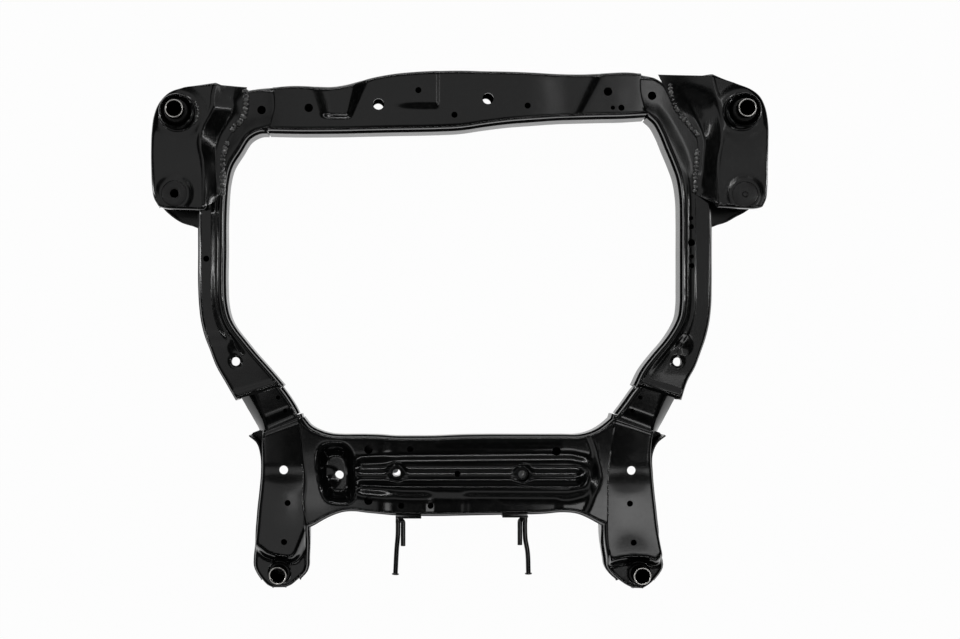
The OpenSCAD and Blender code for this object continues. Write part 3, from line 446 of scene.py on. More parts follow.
# Painted shade: a near-black finish with no gloss for the walls of bores, so that holes look dark.
painted_bore_shade = new_finish(
    "painted_shade_of_bores", (0.003, 0.003, 0.003, 1), (0.01, 0.01, 0.01, 1), (0.01, 0.01, 0.01, 1), 0.8, 0.1,
    0.0003, dict(Peel_scale=900, Peel_depth=0.3, Wave_scale=60, Wave_depth=0.3),
    gloss=0.0, amount=(0.2, 0.1, 0.1))
boss_paint = new_finish(
    "matt_dip_paint", (0.012, 0.012, 0.0122, 1), (0.07, 0.07, 0.065, 1), (0.05, 0.05, 0.052, 1), 0.45, 0.12,
    0.0003, dict(Peel_scale=900, Peel_depth=0.2, Wave_scale=30, Wave_depth=0.5), coat=0.05, gloss=0.6)
print("finishes:", [m.name for m in bpy.data.materials if m.use_nodes])

# %% [markdown]
# ## How a sheet is pressed
# Each shell starts as a flat blank, a grid primitive. Its rows are laid across the member, and
# its columns run from the foot of one wall, over the fold and the top, to the foot of the other
# wall. Solidify gives the sheet its thickness, and booleans punch it. The sizes are in metres.

# %% Sizes of the sheet
SHEET, CLEARANCE, BEND = 0.0025, 0.0003, 0.005
UNDERSIDE, RAIL_TOP, LEG_TOP = 0.018, 0.072, 0.068
SKIRT, TRAY_WALL, NOSE_DROP = 0.034, 0.038, 0.020
LAP = SHEET + CLEARANCE
FRONT_TOP, REAR_TOP, PAD_TOP = RAIL_TOP + LAP, LEG_TOP + LAP, RAIL_TOP + 0.017
PUNCH_RISE, PUNCH_DEPTH, TRAY_PUNCH = 0.01, 0.06, 0.005
UPPER_STEP, TRAY_STEP = 0.0028, 0.006
LAP_REACH, LAP_DIP = 0.016, 0.0024
WALL_ROWS = FOLD_ROWS = 6
EDGE_ROWS = WALL_ROWS + FOLD_ROWS
TINY = 1e-9
finished = []
print("heights of the tops:", RAIL_TOP, LEG_TOP, FRONT_TOP, REAR_TOP, PAD_TOP)

# %% [markdown]
# ## Curves and soft steps
# The plan of each member is a short list of points of the photograph. A smooth line joins them, as
# a batten would. The forms pressed into the sheet are sums of soft steps, because a press can't
# make a sharp one.

# %% Curves and soft steps
def smooth_line(points, step):
    """A smooth line through points, cut at even steps, as a draughtsman bends a batten."""
    p = np.asarray(points, float)
    pairs = p.reshape(len(p), -1, 2)
    chord = np.linalg.norm(np.diff(pairs, axis=0), axis=2).mean(1)
    t = np.concatenate([[0], np.cumsum(np.maximum(chord, TINY))])
    slope = np.gradient(p, t, axis=0) if len(p) > 2 else np.repeat((p[1:] - p[:1]) / t[-1], 2, 0)
    at = np.linspace(0, t[-1], max(3, int(round(t[-1] / step)) + 1))
    k = np.clip(np.searchsorted(t, at, side="right") - 1, 0, len(t) - 2)
    span = (t[k + 1] - t[k])[:, None]
    u = ((at - t[k])[:, None]) / span
    return ((2 * u**3 - 3 * u**2 + 1) * p[k] + (u**3 - 2 * u**2 + u) * span * slope[k]
            + (3 * u**2 - 2 * u**3) * p[k + 1] + (u**3 - u**2) * span * slope[k + 1])


def ease(low, high, x):
    """A soft step from nought to one."""
    s = np.clip((x - low) / np.maximum(high - low, TINY), 0, 1)
    return s * s * (3 - 2 * s)


def swell(low, high, flank, x):
    """One between low and high, with soft flanks."""
    return ease(low - flank / 2, low + flank / 2, x) * (1 - ease(high - flank / 2, high + flank / 2, x))


def patch(box, flank, x, y):
    """One inside a box of picture coordinates: left, top, right, bottom."""
    return swell(box[0], box[2], flank, x) * swell(box[1], box[3], flank, y)


def disc(centre, inner, outer, x, y):
    """One at the middle of a round patch, nought outside it."""
    return 1 - ease(inner, outer, np.hypot(x - centre[0], y - centre[1]))


def depth_inside(corners, x, y):
    """How far points lie inside a shape, in picture units."""
    corners = np.asarray(corners, float)
    far = np.full(np.shape(x), np.inf)
    inside = np.zeros(np.shape(x), bool)
    for (ax, ay), (bx, by) in zip(corners, np.roll(corners, -1, 0)):
        t = np.clip(((x - ax) * (bx - ax) + (y - ay) * (by - ay)) / ((bx - ax) ** 2 + (by - ay) ** 2), 0, 1)
        far = np.minimum(far, np.hypot(x - ax - (bx - ax) * t, y - ay - (by - ay) * t))
        inside ^= ((ay > y) != (by > y)) & (x < (bx - ax) * (y - ay) / (by - ay + TINY) + ax)
    return np.where(inside, far, -far)


def soft_inside(corners, low, high, blur, x, y):
    """One well inside a shape and nought outside it, with rounded corners."""
    turns = np.arange(6) * math.pi / 3
    shifts = [(0, 0)] + [(blur * math.cos(a), blur * math.sin(a)) for a in turns]
    return sum(ease(low, high, depth_inside(corners, x + u, y + v)) for u, v in shifts) / len(shifts)


def plain_form(x, y, s):
    """No form at all, for a plain tray."""
    return 0 * x


print("curves ready, a soft step at its middle:", float(ease(0, 1, 0.5)))

# %% [markdown]
# ## The rows of a shell
# A shell is a sheet of points: the wall, the fold, the top with its forms, and back down the other
# side. Its ends may lap onto the next shell, or fold down like the nose of a leg.

# %% Lay out the rows of a shell
def across_lines(rows_px, step):
    """Outer and inner edge lines of a member in metres, and the way from each edge inwards."""
    rows = smooth_line(rows_px, step / ACROSS)
    outer, inner = to_metres(rows[:, :2]), to_metres(rows[:, 2:])
    ways = []
    for line, other in ((outer, inner), (inner, outer)):
        along = np.gradient(line, axis=0)
        side = np.stack([-along[:, 1], along[:, 0]], 1)
        side /= np.linalg.norm(side, axis=1)[:, None]
        side *= np.sign((side * (other - line)).sum(1))[:, None]
        ways.append(side)
    return outer, inner, ways[0], ways[1]


def shell_rows(rows_px, top, foot, form, step=UPPER_STEP, out=0.0, top_columns=30):
    """The rows of points of a shell. Top is the height of its face, foot the end of its walls, and
    form gives the height that is pressed into the face, in millimetres, by place and share across.
    Out moves both walls outwards.
    A shell whose foot is above its top is a tray that lies upside down."""
    outer, inner, from_outer, from_inner = across_lines(rows_px, step)
    outer, inner = outer - from_outer * out, inner - from_inner * out
    down = 1 if np.mean(foot) < np.mean(top) else -1
    top = np.broadcast_to(np.asarray(top, float), (len(outer),))
    foot = np.broadcast_to(np.asarray(foot, float), (len(outer),))
    edges = []
    for line, way, share in ((outer, from_outer, 0.0), (inner, from_inner, 1.0)):
        lift = form(*to_picture(line), np.full(len(line), share)) / 1000
        head = top + lift
        wall = [np.column_stack([line, foot + (head - down * BEND - foot) * k / WALL_ROWS])
                for k in range(WALL_ROWS)]
        turns = np.linspace(0, math.pi / 2, FOLD_ROWS + 1)
        fold = [np.column_stack([line + way * BEND * (1 - math.cos(a)),
                                 head - down * BEND * (1 - math.sin(a))]) for a in turns]
        edges.append(np.stack(wall + fold, 1))
    left, right = edges
    shares = np.linspace(0, 1, top_columns + 1)[1:-1]
    start, end = left[:, -1, :2], right[:, -1, :2]
    flat = start[:, None] + (end - start)[:, None] * shares[None, :, None]
    x, y = to_picture(flat)
    face = np.dstack([flat, top[:, None] + form(x, y, np.broadcast_to(shares, x.shape)) / 1000])
    left[:, -1, 2] = top + form(*to_picture(start), np.zeros(len(start))) / 1000
    right[:, -1, 2] = top + form(*to_picture(end), np.ones(len(end))) / 1000
    return np.concatenate([left, face, right[:, ::-1]], 1)


def lap_onto(rows, seam_px, at_end):
    """Runs the top of one end of a shell out, or back, to a seam line, and leaves its walls."""
    columns = rows.shape[1]
    share = (np.arange(columns) - EDGE_ROWS) / (columns - 1 - 2 * EDGE_ROWS)
    seam = smooth_line(to_metres(seam_px), 0.001)
    pick = np.clip(share, 0, 1) * (len(seam) - 1)
    k = np.minimum(pick.astype(int), len(seam) - 2)
    goal = seam[k] + (seam[k + 1] - seam[k]) * (pick - k)[:, None]
    near = np.arange(columns)
    near = np.minimum(near, columns - 1 - near)
    part = np.clip((near - WALL_ROWS) / FOLD_ROWS, 0, 1)
    last = -1 if at_end else 0
    move = (goal - rows[last, :, :2]) * part[:, None]
    length = np.linalg.norm(rows[:, :, :2].mean(1) - rows[last, :, :2].mean(0), axis=1)
    weight = np.clip(1 - length / LAP_REACH, 0, 1)
    rows = rows.copy()
    rows[:, :, :2] += weight[:, None, None] * move[None]
    rows[:, :, 2] -= LAP_DIP * ease(0.84, 1, weight)[:, None] * (part > 0.99)
    return rows


def turn_down(rows, lead, radius, foot, wall_rows=5, arc_rows=5, stop=0.8):
    """Folds the end of a shell over, along the way lead, and down a share, stop, of the way to a height."""
    last = rows[-1]
    lead = np.asarray(lead, float)
    high = abs(last[rows.shape[1] // 2, 2] - foot)
    near = np.arange(rows.shape[1])
    part = np.clip((np.minimum(near, rows.shape[1] - 1 - near) - WALL_ROWS) / FOLD_ROWS, 0, 1)[:, None]
    added = []
    for k in range(1, arc_rows + wall_rows + 1):
        a = min(1, k / arc_rows) * math.pi / 2
        fall = radius * (1 - math.cos(a)) / high
        if k > arc_rows:
            fall += (stop - fall) * (k - arc_rows) / wall_rows
        row = last.copy()
        row[:, :2] += lead * radius * math.sin(a) * part
        row[:, 2] = foot + (last[:, 2] - foot) * (1 - fall)
        added.append(row)
    return np.concatenate([rows, np.stack(added)], 0)


print("rows on each edge of a shell:", EDGE_ROWS)

# %% [markdown]
# ## Press, punch and finish
# The press sets the points of a flat grid to the rows and thickens it inwards, away from the face
# that shows. The punch cuts all round holes of a sheet at once, as a real die would. Last, each
# piece is shaded smooth up to an angle, painted and given its place in the frame.

# %% Press, punch and finish a sheet
def choose(piece):
    """Makes one piece the only chosen and active one."""
    bpy.ops.object.select_all(action="DESELECT")
    piece.select_set(True)
    bpy.context.view_layer.objects.active = piece


def apply_all(piece):
    """Applies every modifier of a piece."""
    choose(piece)
    for modifier in list(piece.modifiers):
        bpy.ops.object.modifier_apply(modifier=modifier.name)


def press(name, rows, outward=1):
    """Presses a flat blank into the given rows of points and gives it its thickness. Outward is
    1 where the face that shows looks up, and -1 where it looks down."""
    middle = rows[len(rows) // 2, rows.shape[1] // 2]
    over = rows[len(rows) // 2, rows.shape[1] // 2 + 1] - middle
    along = rows[len(rows) // 2 + 1, rows.shape[1] // 2] - middle
    if np.cross(over, along)[2] * outward < 0:
        rows = rows[:, ::-1]
    bpy.ops.object.select_all(action="DESELECT")
    bpy.ops.mesh.primitive_grid_add(
        x_subdivisions=rows.shape[1] - 1, y_subdivisions=rows.shape[0] - 1, size=1)
    blank = bpy.context.object
    blank.name = name
    blank.data.vertices.foreach_set("co", rows.reshape(-1).astype(np.float32))
    blank.data.update()
    wall = blank.modifiers.new("thickness", "SOLIDIFY")
    wall.thickness = SHEET
    wall.offset = -1
    apply_all(blank)
    return blank


def punch(piece, holes, low, high):
    """Punches round holes, given as rows of picture coordinates and a diameter in millimetres."""
    cutters = []
    for x, y, wide in holes:
        place = to_metres((x, y))
        bpy.ops.object.select_all(action="DESELECT")
        bpy.ops.mesh.primitive_cylinder_add(
            vertices=40, radius=wide / 2000, depth=high - low,
            location=(place[0], place[1], (high + low) / 2))
        bpy.ops.object.transform_apply(location=True)
        cutters.append(bpy.context.object)
    for cutter in cutters:
        cutter.select_set(True)
    bpy.context.view_layer.objects.active = cutters[0]
    if len(cutters) > 1:
        bpy.ops.object.join()
    tool = bpy.context.object
    cut = piece.modifiers.new("holes", "BOOLEAN")
    cut.operation = "DIFFERENCE"
    cut.solver = "EXACT"
    cut.object = tool
    apply_all(piece)
    bpy.data.objects.remove(tool)


def finish_piece(piece, nodes, finish=black_paint, slot="painted_steel", angle=40):
    """Shades the piece smooth, gives it its finish and its place in the frame."""
    choose(piece)
    bpy.ops.object.shade_smooth_by_angle(angle=math.radians(angle))
    piece.data.materials.clear()
    piece.data.materials.append(finish)
    if nodes:
        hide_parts(*nodes)
    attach(piece, "root")
    finished.append(piece)
    return piece


def press_tray(name, rows_px, columns, holes, node):
    """Presses, punches and finishes a plain lower shell outside the walls of its upper one."""
    rows = shell_rows(
        rows_px, UNDERSIDE, UNDERSIDE + TRAY_WALL, plain_form, step=TRAY_STEP, out=LAP, top_columns=columns)
    tray = press(name, rows, -1)
    punch(tray, holes, UNDERSIDE - TRAY_PUNCH, UNDERSIDE + TRAY_PUNCH)
    return finish_piece(tray, [node], under_paint)


print("press ready, sheet", SHEET)

# %% [markdown]
# ## The front crossmember
# Its upper shell has a V-shaped recess where a pipe passes, a raised panel round the middle, and
# a slanted step near the right end. The lower shell is a plain tray outside the upper walls.

# %% Front crossmember: tables
FRONT_ROWS = [
    (267.5, 129, 272, 86), (296, 129.6, 294, 84.6), (318, 129.6, 318, 85.3), (330, 129.5, 330, 85.6),
    (346, 129.3, 346, 83.4), (358, 129, 358, 80.2), (370, 128.7, 370, 77), (392, 128.2, 392, 72.8),
    (416, 127.8, 416, 70.6), (440, 127.2, 440, 69.5), (462, 126, 462, 69.2), (484, 122.8, 484, 69.8),
    (508, 119.8, 508, 70.2), (534, 117.8, 534, 71.2), (560, 116, 560, 72.4), (584, 115.3, 584, 72.8),
    (604, 114.8, 604, 72), (626, 114.3, 626, 71), (647.8, 113, 642, 72)]
FRONT_LEFT_SEAM = [(267.4, 127.5), (271, 117), (273.7, 106), (273.3, 97), (272.2, 88)]
FRONT_RIGHT_SEAM = [(647.2, 111), (645, 103), (642.5, 94), (641.6, 86), (642, 74)]
FRONT_HOLES = [
    (308.5, 107.2, 14), (378.5, 103.4, 18), (418.4, 89.6, 10), (454.6, 114.1, 10), (488.3, 97.8, 18),
    (528, 104.9, 10), (608.5, 90.9, 14), (613.5, 107, 7), (622, 107, 10)]
FRONT_TRAY_HOLES = [(377.5, 101.5, 18), (488, 96.5, 18)]
print("front crossmember:", len(FRONT_HOLES), "holes in its upper shell")

# %% Front crossmember: forms


def front_form(x, y, s):
    """Heights of the forms pressed into the front crossmember."""
    left = ease(306 + (y - 86) * 0.4, 331 + (y - 86) * 0.1, x)
    right = 1 - ease(350 - (y - 86) * 0.147, 370 - (y - 80) * 0.5, x)
    recess = left * right * (1 - ease(112, 118.5, y))
    panel = ease(384, 424, x) * (1 - ease(435.5, 440.5, x)) * (1 - ease(101, 109, y))
    slant = 606 - (y - 73) * 0.52
    ramp = ease(524, 572, x) * (1 - ease(slant - 9, slant, x))
    shoulder = ease(slant - 12, slant - 8, x) * (1 - ease(slant - 5, slant, x))
    return -6 * recess + 1.5 * panel - 3 * ramp + 0.8 * shoulder


print("recess at its middle, mm:", float(front_form(340.0, 95.0, 0.5)))

# %% Front crossmember: pieces
front_rows = shell_rows(FRONT_ROWS, FRONT_TOP, FRONT_TOP - SKIRT, front_form, top_columns=34)
front_rows = lap_onto(lap_onto(front_rows, FRONT_LEFT_SEAM, False), FRONT_RIGHT_SEAM, True)
front_upper = press("front_crossmember_upper_shell", front_rows)
punch(front_upper, FRONT_HOLES, FRONT_TOP - SKIRT, FRONT_TOP + PUNCH_RISE)
finish_piece(front_upper, ["front_crossmember_upper"])
press_tray("front_crossmember_lower_shell", FRONT_ROWS, 12, FRONT_TRAY_HOLES, "front_crossmember_lower")
print("front crossmember:", len(front_upper.data.polygons), "faces")

# %% [markdown]
# ## The side rails
# The two rails aren't alike. A rib runs along the inner edge of each straight part. The left one
# has a flat lower strip outboard of it. The right one slopes away outboard, and carries a row of
# small holes. A round dish near the rear end holds a large hole.

# %% Side rails: tables
LEFT_RAIL = [
    (271, 86.5, 266, 129.2), (258, 87.5, 259, 129.5), (238, 92, 247.5, 135.5), (222, 106, 238.5, 149),
    (210, 128, 229.5, 163.5), (202, 155, 225.3, 179.5), (198.5, 185, 223.5, 200), (197.5, 215, 222.8, 220),
    (197.5, 250, 222.8, 250), (197.5, 285, 222.5, 285), (198.5, 305, 223.5, 303), (200.5, 321, 227, 318),
    (204, 335, 233, 329), (209, 348, 242, 340.5), (215.5, 365, 253.5, 354.5), (224, 380, 266, 368.5),
    (235.5, 400, 281.3, 386.2)]
RIGHT_RAIL = [
    (642.8, 73.5, 650.3, 114), (655, 76, 657, 120), (668, 84, 663, 130.5), (684, 100, 669, 145),
    (700, 124, 675.5, 160.5), (709, 150, 681, 176), (713, 180, 684, 195), (713.5, 215, 684.7, 218),
    (713.5, 250, 684.7, 250), (713.5, 285, 684.7, 285), (713, 305, 684.5, 303), (711, 322, 682.5, 317),
    (707.5, 337, 677, 329), (703, 350, 668.5, 341.5), (697, 366, 657, 355), (689, 381, 645.5, 370),
    (682.8, 400, 637.5, 386)]
LEFT_TONGUE = [(277, 92), (279, 101), (278.5, 112), (274.5, 122.5)]
RIGHT_TONGUE = [(636, 78), (635.5, 86), (638, 97), (643, 107)]
LEFT_RAIL_HOLES = [(261, 109, 14), (205, 258, 10), (235, 361.4, 14)]
RIGHT_RAIL_HOLES = [
    (653, 94.7, 14), (692.6, 217.5, 6.4), (692.8, 226, 8.2), (692.7, 242, 11.6), (693.2, 256, 7),
    (693, 265.3, 8.8), (678.6, 361.7, 14)]
print("rail holes:", len(LEFT_RAIL_HOLES), "left and", len(RIGHT_RAIL_HOLES), "right")

# %% Side rails: forms
def rail_end(end):
    """The edge of a rail's rear end: a low ridge, then a turn down, by the way along the rail."""
    return 1.4 * ease(-10, -6, end) - 4.4 * ease(-3.4, 0, end)


def left_rail_form(x, y, s):
    """The left rail: flat strip, slope, groove and rib, and the dish near the rear end."""
    run = swell(203, 338, 22, y)
    strip = -5 + 2.2 * ease(0.46, 0.74, s) - 0.8 * swell(0.78, 0.86, 0.05, s) + 2.8 * ease(0.86, 0.94, s)
    dish = disc((235, 361.4), 4, 7.5, x, y)
    hollow = disc((239, 347), 1, 13, x, y) * (1 - ease(0.7, 0.95, s))
    corner = (1 - ease(150, 215, y)) * ease(0.55, 1.0, s) * ease(98, 118, y)
    end = ((x - 235.5) * 13.8 + (y - 400) * 45.8) / 47.8
    return run * strip - 1.5 * dish - 3 * hollow - 0.6 * corner + rail_end(end)


def right_rail_form(x, y, s):
    """The right rail: a long slope outboard, a flat with holes, and the rib."""
    run = swell(190, 356, 44, y)
    slope = -2.6 + 0.8 * np.clip(s / 0.58, 0, 1) + 0.6 * ease(0.56, 0.64, s)
    strip = slope - 0.8 * swell(0.82, 0.88, 0.05, s) + 1.4 * ease(0.87, 0.95, s)
    dish = disc((678.6, 361.7), 4, 7.5, x, y)
    hollow = disc((682, 345), 1, 14, x, y) * (1 - ease(0.7, 0.95, s))
    corner = (1 - ease(150, 200, y)) * ease(0.5, 1.0, s) * ease(84, 118, y)
    end = ((682.8 - x) * 14 + (y - 400) * 45.3) / 47.4
    return run * strip - 1.5 * dish - 2.6 * hollow - 0.9 * corner + rail_end(end)


print("forms of the rails ready, ridge at the end, mm:", float(rail_end(-5)))

# %% Side rails: pieces
RAILS = {
    "left": (LEFT_RAIL, LEFT_TONGUE, LEFT_RAIL_HOLES, (233, 361.4, 19), left_rail_form),
    "right": (RIGHT_RAIL, RIGHT_TONGUE, RIGHT_RAIL_HOLES, (682, 361.6, 21), right_rail_form)}
for side, (rows_px, tongue, holes, tray_hole, form) in RAILS.items():
    upper = press(side + "_rail_upper_shell", lap_onto(
        shell_rows(rows_px, RAIL_TOP, RAIL_TOP - SKIRT, form), tongue, False))
    punch(upper, holes, RAIL_TOP - SKIRT, RAIL_TOP + PUNCH_RISE)
    finish_piece(upper, [side + "_rail_upper"])
    press_tray(side + "_rail_lower_shell", rows_px, 10, [tray_hole], side + "_rail_lower")
    print(side, "rail:", len(upper.data.polygons), "faces")

# %% [markdown]
# ## The links
# A short link joins each rail to its leg. Its outer side splays out like a skirt, so its rows
# are those of a plain shell with the outer edge laid anew along two power curves: one for the
# reach of the skirt and one for its fall.

# %% Links: rows
SPLAY = [15, 14, 12.5, 10.5, 9, 6]
LINK_WALL, LINK_DROP, LINK_EDGE = 0.03, 0.004, 0.004
LINK_SHOULDER = 0.0055
LINK_TRAY_TOP = 0.0455


def link_rows(side_rows):
    """A link: a top face between its fold and the inner wall, and a splayed outer side."""
    rows = shell_rows(side_rows, 0, -LINK_WALL, plain_form, top_columns=18)
    count = len(rows)
    share = np.linspace(0, 1, count)
    height = RAIL_TOP - LAP - LINK_DROP * ease(0.64, 0.96, share)
    skirt_foot = height - SKIRT + 2 * BEND
    outer, _, way, _ = across_lines(side_rows, UPPER_STEP)
    reach = np.interp(share, np.linspace(0, 1, len(SPLAY)), SPLAY) * ACROSS
    falling = np.arange(WALL_ROWS - 1, -1, -1) / WALL_ROWS
    for i in range(count):
        rows[i, :, 2] += height[i]
        rows[i, -WALL_ROWS:, 2] = skirt_foot[i] + (rows[i, -WALL_ROWS - 1, 2] - skirt_foot[i]) * falling
        for k in range(EDGE_ROWS):
            t = 1 - k / EDGE_ROWS
            rows[i, k, :2] = outer[i] + way[i] * LINK_EDGE - way[i] * (reach[i] + LINK_EDGE) * t ** 0.8
            rows[i, k, 2] = height[i] - (height[i] - skirt_foot[i]) * t ** 1.25
        rows[i, EDGE_ROWS, :2] = outer[i] + way[i] * LINK_SHOULDER
        rows[i, EDGE_ROWS, 2] = height[i]
    return rows


print("splay of the links:", SPLAY)

# %% Links: pieces
LINKS = {
    "left": dict(
        rows=[(250, 388, 275, 380.5), (253.7, 396.3, 279.4, 388), (256.5, 404, 283.5, 393.5),
              (259.5, 413, 288.7, 401), (262, 421, 293.3, 408.5), (263.5, 431.5, 297.5, 417)],
        holes=[(277.5, 397.6, 7), (284.5, 410.8, 7)]),
    "right": dict(
        rows=[(668.3, 388, 644.3, 380.5), (665, 396, 639.5, 388), (662.3, 404, 635.2, 393.5),
              (659.7, 413, 630, 401), (657.5, 421, 624.5, 408.5), (656, 431.5, 618, 417)],
        holes=[(641.5, 397.6, 7), (633.5, 410.8, 7)])}
for side, link in LINKS.items():
    upper = press(side + "_link_upper_shell", link_rows(link["rows"]))
    punch(upper, link["holes"], RAIL_TOP - SKIRT, RAIL_TOP + PUNCH_RISE)
    finish_piece(upper, [side + "_link_upper"])
    table = np.asarray(link["rows"], float)
    way = table[:, 2:] - table[:, :2]
    way /= np.linalg.norm(way, axis=1)[:, None]
    wide = np.column_stack([table[:, :2] - way * (np.array(SPLAY) - 3)[:, None], table[:, 2:]])
    wide[-1] = wide[-2] + (wide[-1] - wide[-2]) * 0.7
    tray_rows = shell_rows(
        wide[1:], UNDERSIDE, LINK_TRAY_TOP, plain_form, step=TRAY_STEP, out=LAP, top_columns=8)
    lower = press(side + "_link_lower_shell", tray_rows, -1)
    finish_piece(lower, [side + "_link_lower"], under_paint)
    print(side, "link:", len(upper.data.polygons), "faces")

# %% [markdown]
# ## The rear legs
# Each leg is a box with a shallow crease across it. It steps down to a round nose that holds the
# rear bush, and its end folds down. The shape of the platform above the step is given as an
# outline, and the step follows it. The lower shell has a small horn at its front.

# %% Rear legs: tables
REAR_CAN = 39
FIT = 0.6
LEGS = {
    "left": dict(
        rows=[(262, 429, 299, 414.5), (260.5, 441, 303, 431), (261, 456, 305, 453),
              (261, 474, 306.5, 474), (259.5, 492, 307, 492), (257.5, 510, 307, 510),
              (256, 528, 307, 528), (254.5, 543, 306.8, 543), (253.3, 553, 306.4, 553),
              (252.4, 562, 306, 562), (252.6, 570, 305.8, 569.5), (254.8, 575.5, 304, 575),
              (258, 580.5, 299.5, 580), (261.5, 585, 294.5, 584.5), (265.5, 588.8, 289.5, 588.5),
              (270, 591, 284, 590.9)],
        horn=[(248, 435.5), (256, 442.5), (260.4, 456)], axis=(277.7, 575.6),
        holes=[(283, 470.5, 14), (287, 503.7, 10), (283.4, 543, 10)], through=(281, 472, 18)),
    "right": dict(
        rows=[(657, 429, 616, 414.5), (654.5, 441, 611, 431), (653, 456, 608.5, 453),
              (654, 474, 606.5, 474), (655.5, 492, 605.5, 492), (657.5, 510, 605.2, 510),
              (659.5, 528, 605.2, 528), (662, 543, 606, 543), (664, 553, 607.5, 553),
              (666, 562, 609, 562), (666.8, 570.5, 610.5, 570), (664.2, 576, 614.5, 576),
              (660.5, 580.8, 619.5, 580.8), (656.5, 585.4, 625, 585.2), (652, 589, 630.5, 588.8),
              (647.5, 591.7, 636.5, 591.6)],
        horn=[(668, 435.5), (659.5, 442.5), (653.8, 456)], axis=(642.4, 576.2),
        holes=[(632.7, 471, 14), (631.2, 504.3, 10), (635, 543.6, 10)], through=(637, 472.8, 18))}
PLATFORM = {
    "left": [(235, 380), (235, 543), (252, 545), (259, 548), (266, 554), (274, 557), (285, 558.6),
             (291, 558.5), (295, 554), (300, 542), (305, 530), (312, 512), (325, 480), (325, 380)],
    "right": [(590, 380), (590, 545), (605, 552), (613, 562), (622, 560), (634, 558.5), (648, 559),
              (658, 562), (664, 556), (672, 548), (685, 520), (685, 380)]}
print("legs:", list(LEGS))

# %% Rear legs: forms
def leg_form(side):
    """Heights of the forms of a leg: a dip across it, a slope ahead of the dip and the step to the nose."""
    def form(x, y, s):
        crease = -0.4 * swell(470, 478, 14, y)
        slope = -4.5 * (1 - ease(422, 474, y))
        dome = 0.6 * swell(484, 540, 30, y) * np.sin(np.clip(s, 0, 1) * math.pi)
        step = -20 * (1 - soft_inside(PLATFORM[side], -8, 1, 1.5, x, y))
        if side == "left":
            back = ((x - 262) * 14.5 + (y - 429) * 37) / 39.7
        else:
            back = ((657 - x) * 14.5 + (y - 429) * 41) / 43.5
        return crease + slope + dome + step - 3 * (1 - ease(0, 3, back)) + 1.2 * (1 - ease(3, 8, back))
    return form


print("step of the left leg ahead of its nose, mm:", round(float(leg_form("left")(280.0, 500.0, 0.5)), 2))

# %% Rear legs: pieces
REARWARD = (0, -1)
NOSE_BEND, TRAY_NOSE_BEND = 0.005, 0.004
LEG_TRAY_STEP = 0.005
for side, leg in LEGS.items():
    bush_hole = (*leg["axis"], REAR_CAN + FIT)
    lines = smooth_line(leg["rows"], UPPER_STEP / ACROSS)
    low = NOSE_DROP * ease(545, 561, lines[:, 1])
    upper_rows = shell_rows(
        leg["rows"], LEG_TOP, LEG_TOP - SKIRT - low / 4, leg_form(side), top_columns=32)
    upper_rows = turn_down(upper_rows, REARWARD, NOSE_BEND, LEG_TOP - SKIRT - NOSE_DROP / 4)
    upper = press(side + "_leg_upper_shell", upper_rows)
    punch(upper, leg["holes"], LEG_TOP - SKIRT, LEG_TOP + PUNCH_RISE)
    punch(upper, [bush_hole], UNDERSIDE, LEG_TOP)
    finish_piece(upper, [side + "_leg_upper"])
    horn = leg["horn"]
    horned = [(*point, *row[2:]) for point, row in zip(horn, leg["rows"])] + leg["rows"][len(horn):]
    lines = smooth_line(horned, LEG_TRAY_STEP / ACROSS)
    low = NOSE_DROP * ease(528, 552, lines[:, 1])
    lower_rows = shell_rows(
        horned, UNDERSIDE, UNDERSIDE + TRAY_WALL - low, plain_form,
        step=LEG_TRAY_STEP, out=LAP, top_columns=12)
    lower_rows = turn_down(lower_rows[:-5], REARWARD, TRAY_NOSE_BEND, UNDERSIDE + TRAY_WALL - NOSE_DROP)
    lower = press(side + "_leg_lower_shell", lower_rows, -1)
    punch(lower, [leg["through"]], UNDERSIDE - TRAY_PUNCH, UNDERSIDE + TRAY_PUNCH)
    punch(lower, [bush_hole], UNDERSIDE - TRAY_PUNCH, LEG_TOP)
    finish_piece(lower, [side + "_leg_lower"], under_paint)
    print(side, "leg:", len(upper.data.polygons), "faces")

# %% [markdown]
# ## The rear crossmember
# Two long grooves with a ridge between them stiffen it. A deep pocket at the left end has a
# drain hole in its floor, and two collars take the bolts of the steering gear.

# %% Rear crossmember: tables
REAR_ROWS = [
    (308, 527.6, 301.5, 418.5), (313, 525.2, 308.5, 427), (321, 520.5, 320, 433.2), (330, 516, 330, 436),
    (342, 512, 342, 437), (354, 511.2, 354, 437), (366, 512.6, 366, 437), (380, 514, 380, 437.4),
    (393, 515.2, 393, 438.4), (412, 515.8, 412, 438.6), (436, 516, 436, 438.4), (462, 515.6, 462, 437.4),
    (490, 515, 490, 437), (520, 514.6, 520, 437), (545, 513.8, 545, 437), (566, 512.2, 566, 437),
    (580, 513.8, 580, 437), (590, 517.8, 590, 435), (597, 521.5, 598, 431.8), (602, 524.3, 607, 426),
    (605, 526, 614.5, 419.5)]
REAR_LEFT_SEAM = [(305, 525), (301.5, 504), (304, 483), (301.4, 456), (298, 421)]
REAR_RIGHT_SEAM = [(609, 524), (609, 500), (609.5, 472), (613, 450), (617, 422)]
REAR_HOLES = [
    (338.3, 476.7, 14), (368.4, 449.9, 14), (368.2, 501.3, 14), (410.2, 449.7, 10), (401.3, 506.5, 10),
    (430.8, 506.7, 10), (457.8, 474.4, 10), (557.5, 451.8, 14)]
COLLARS = [(396.5, 474.1), (523.6, 475.5)]
COLLAR_HOLE, COLLAR_BORE = 21.6, 13
REAR_TRAY_HOLES = [(338.8, 476.2, 18)] + [(*c, COLLAR_BORE) for c in COLLARS]
BED = [
    (350, 461), (404, 458), (572, 456.5), (588, 460), (595, 468), (597, 477), (594, 487), (587, 494),
    (572, 498), (404, 497), (352, 492)]
print("rear crossmember:", len(REAR_HOLES) + len(COLLARS), "holes in its upper shell")

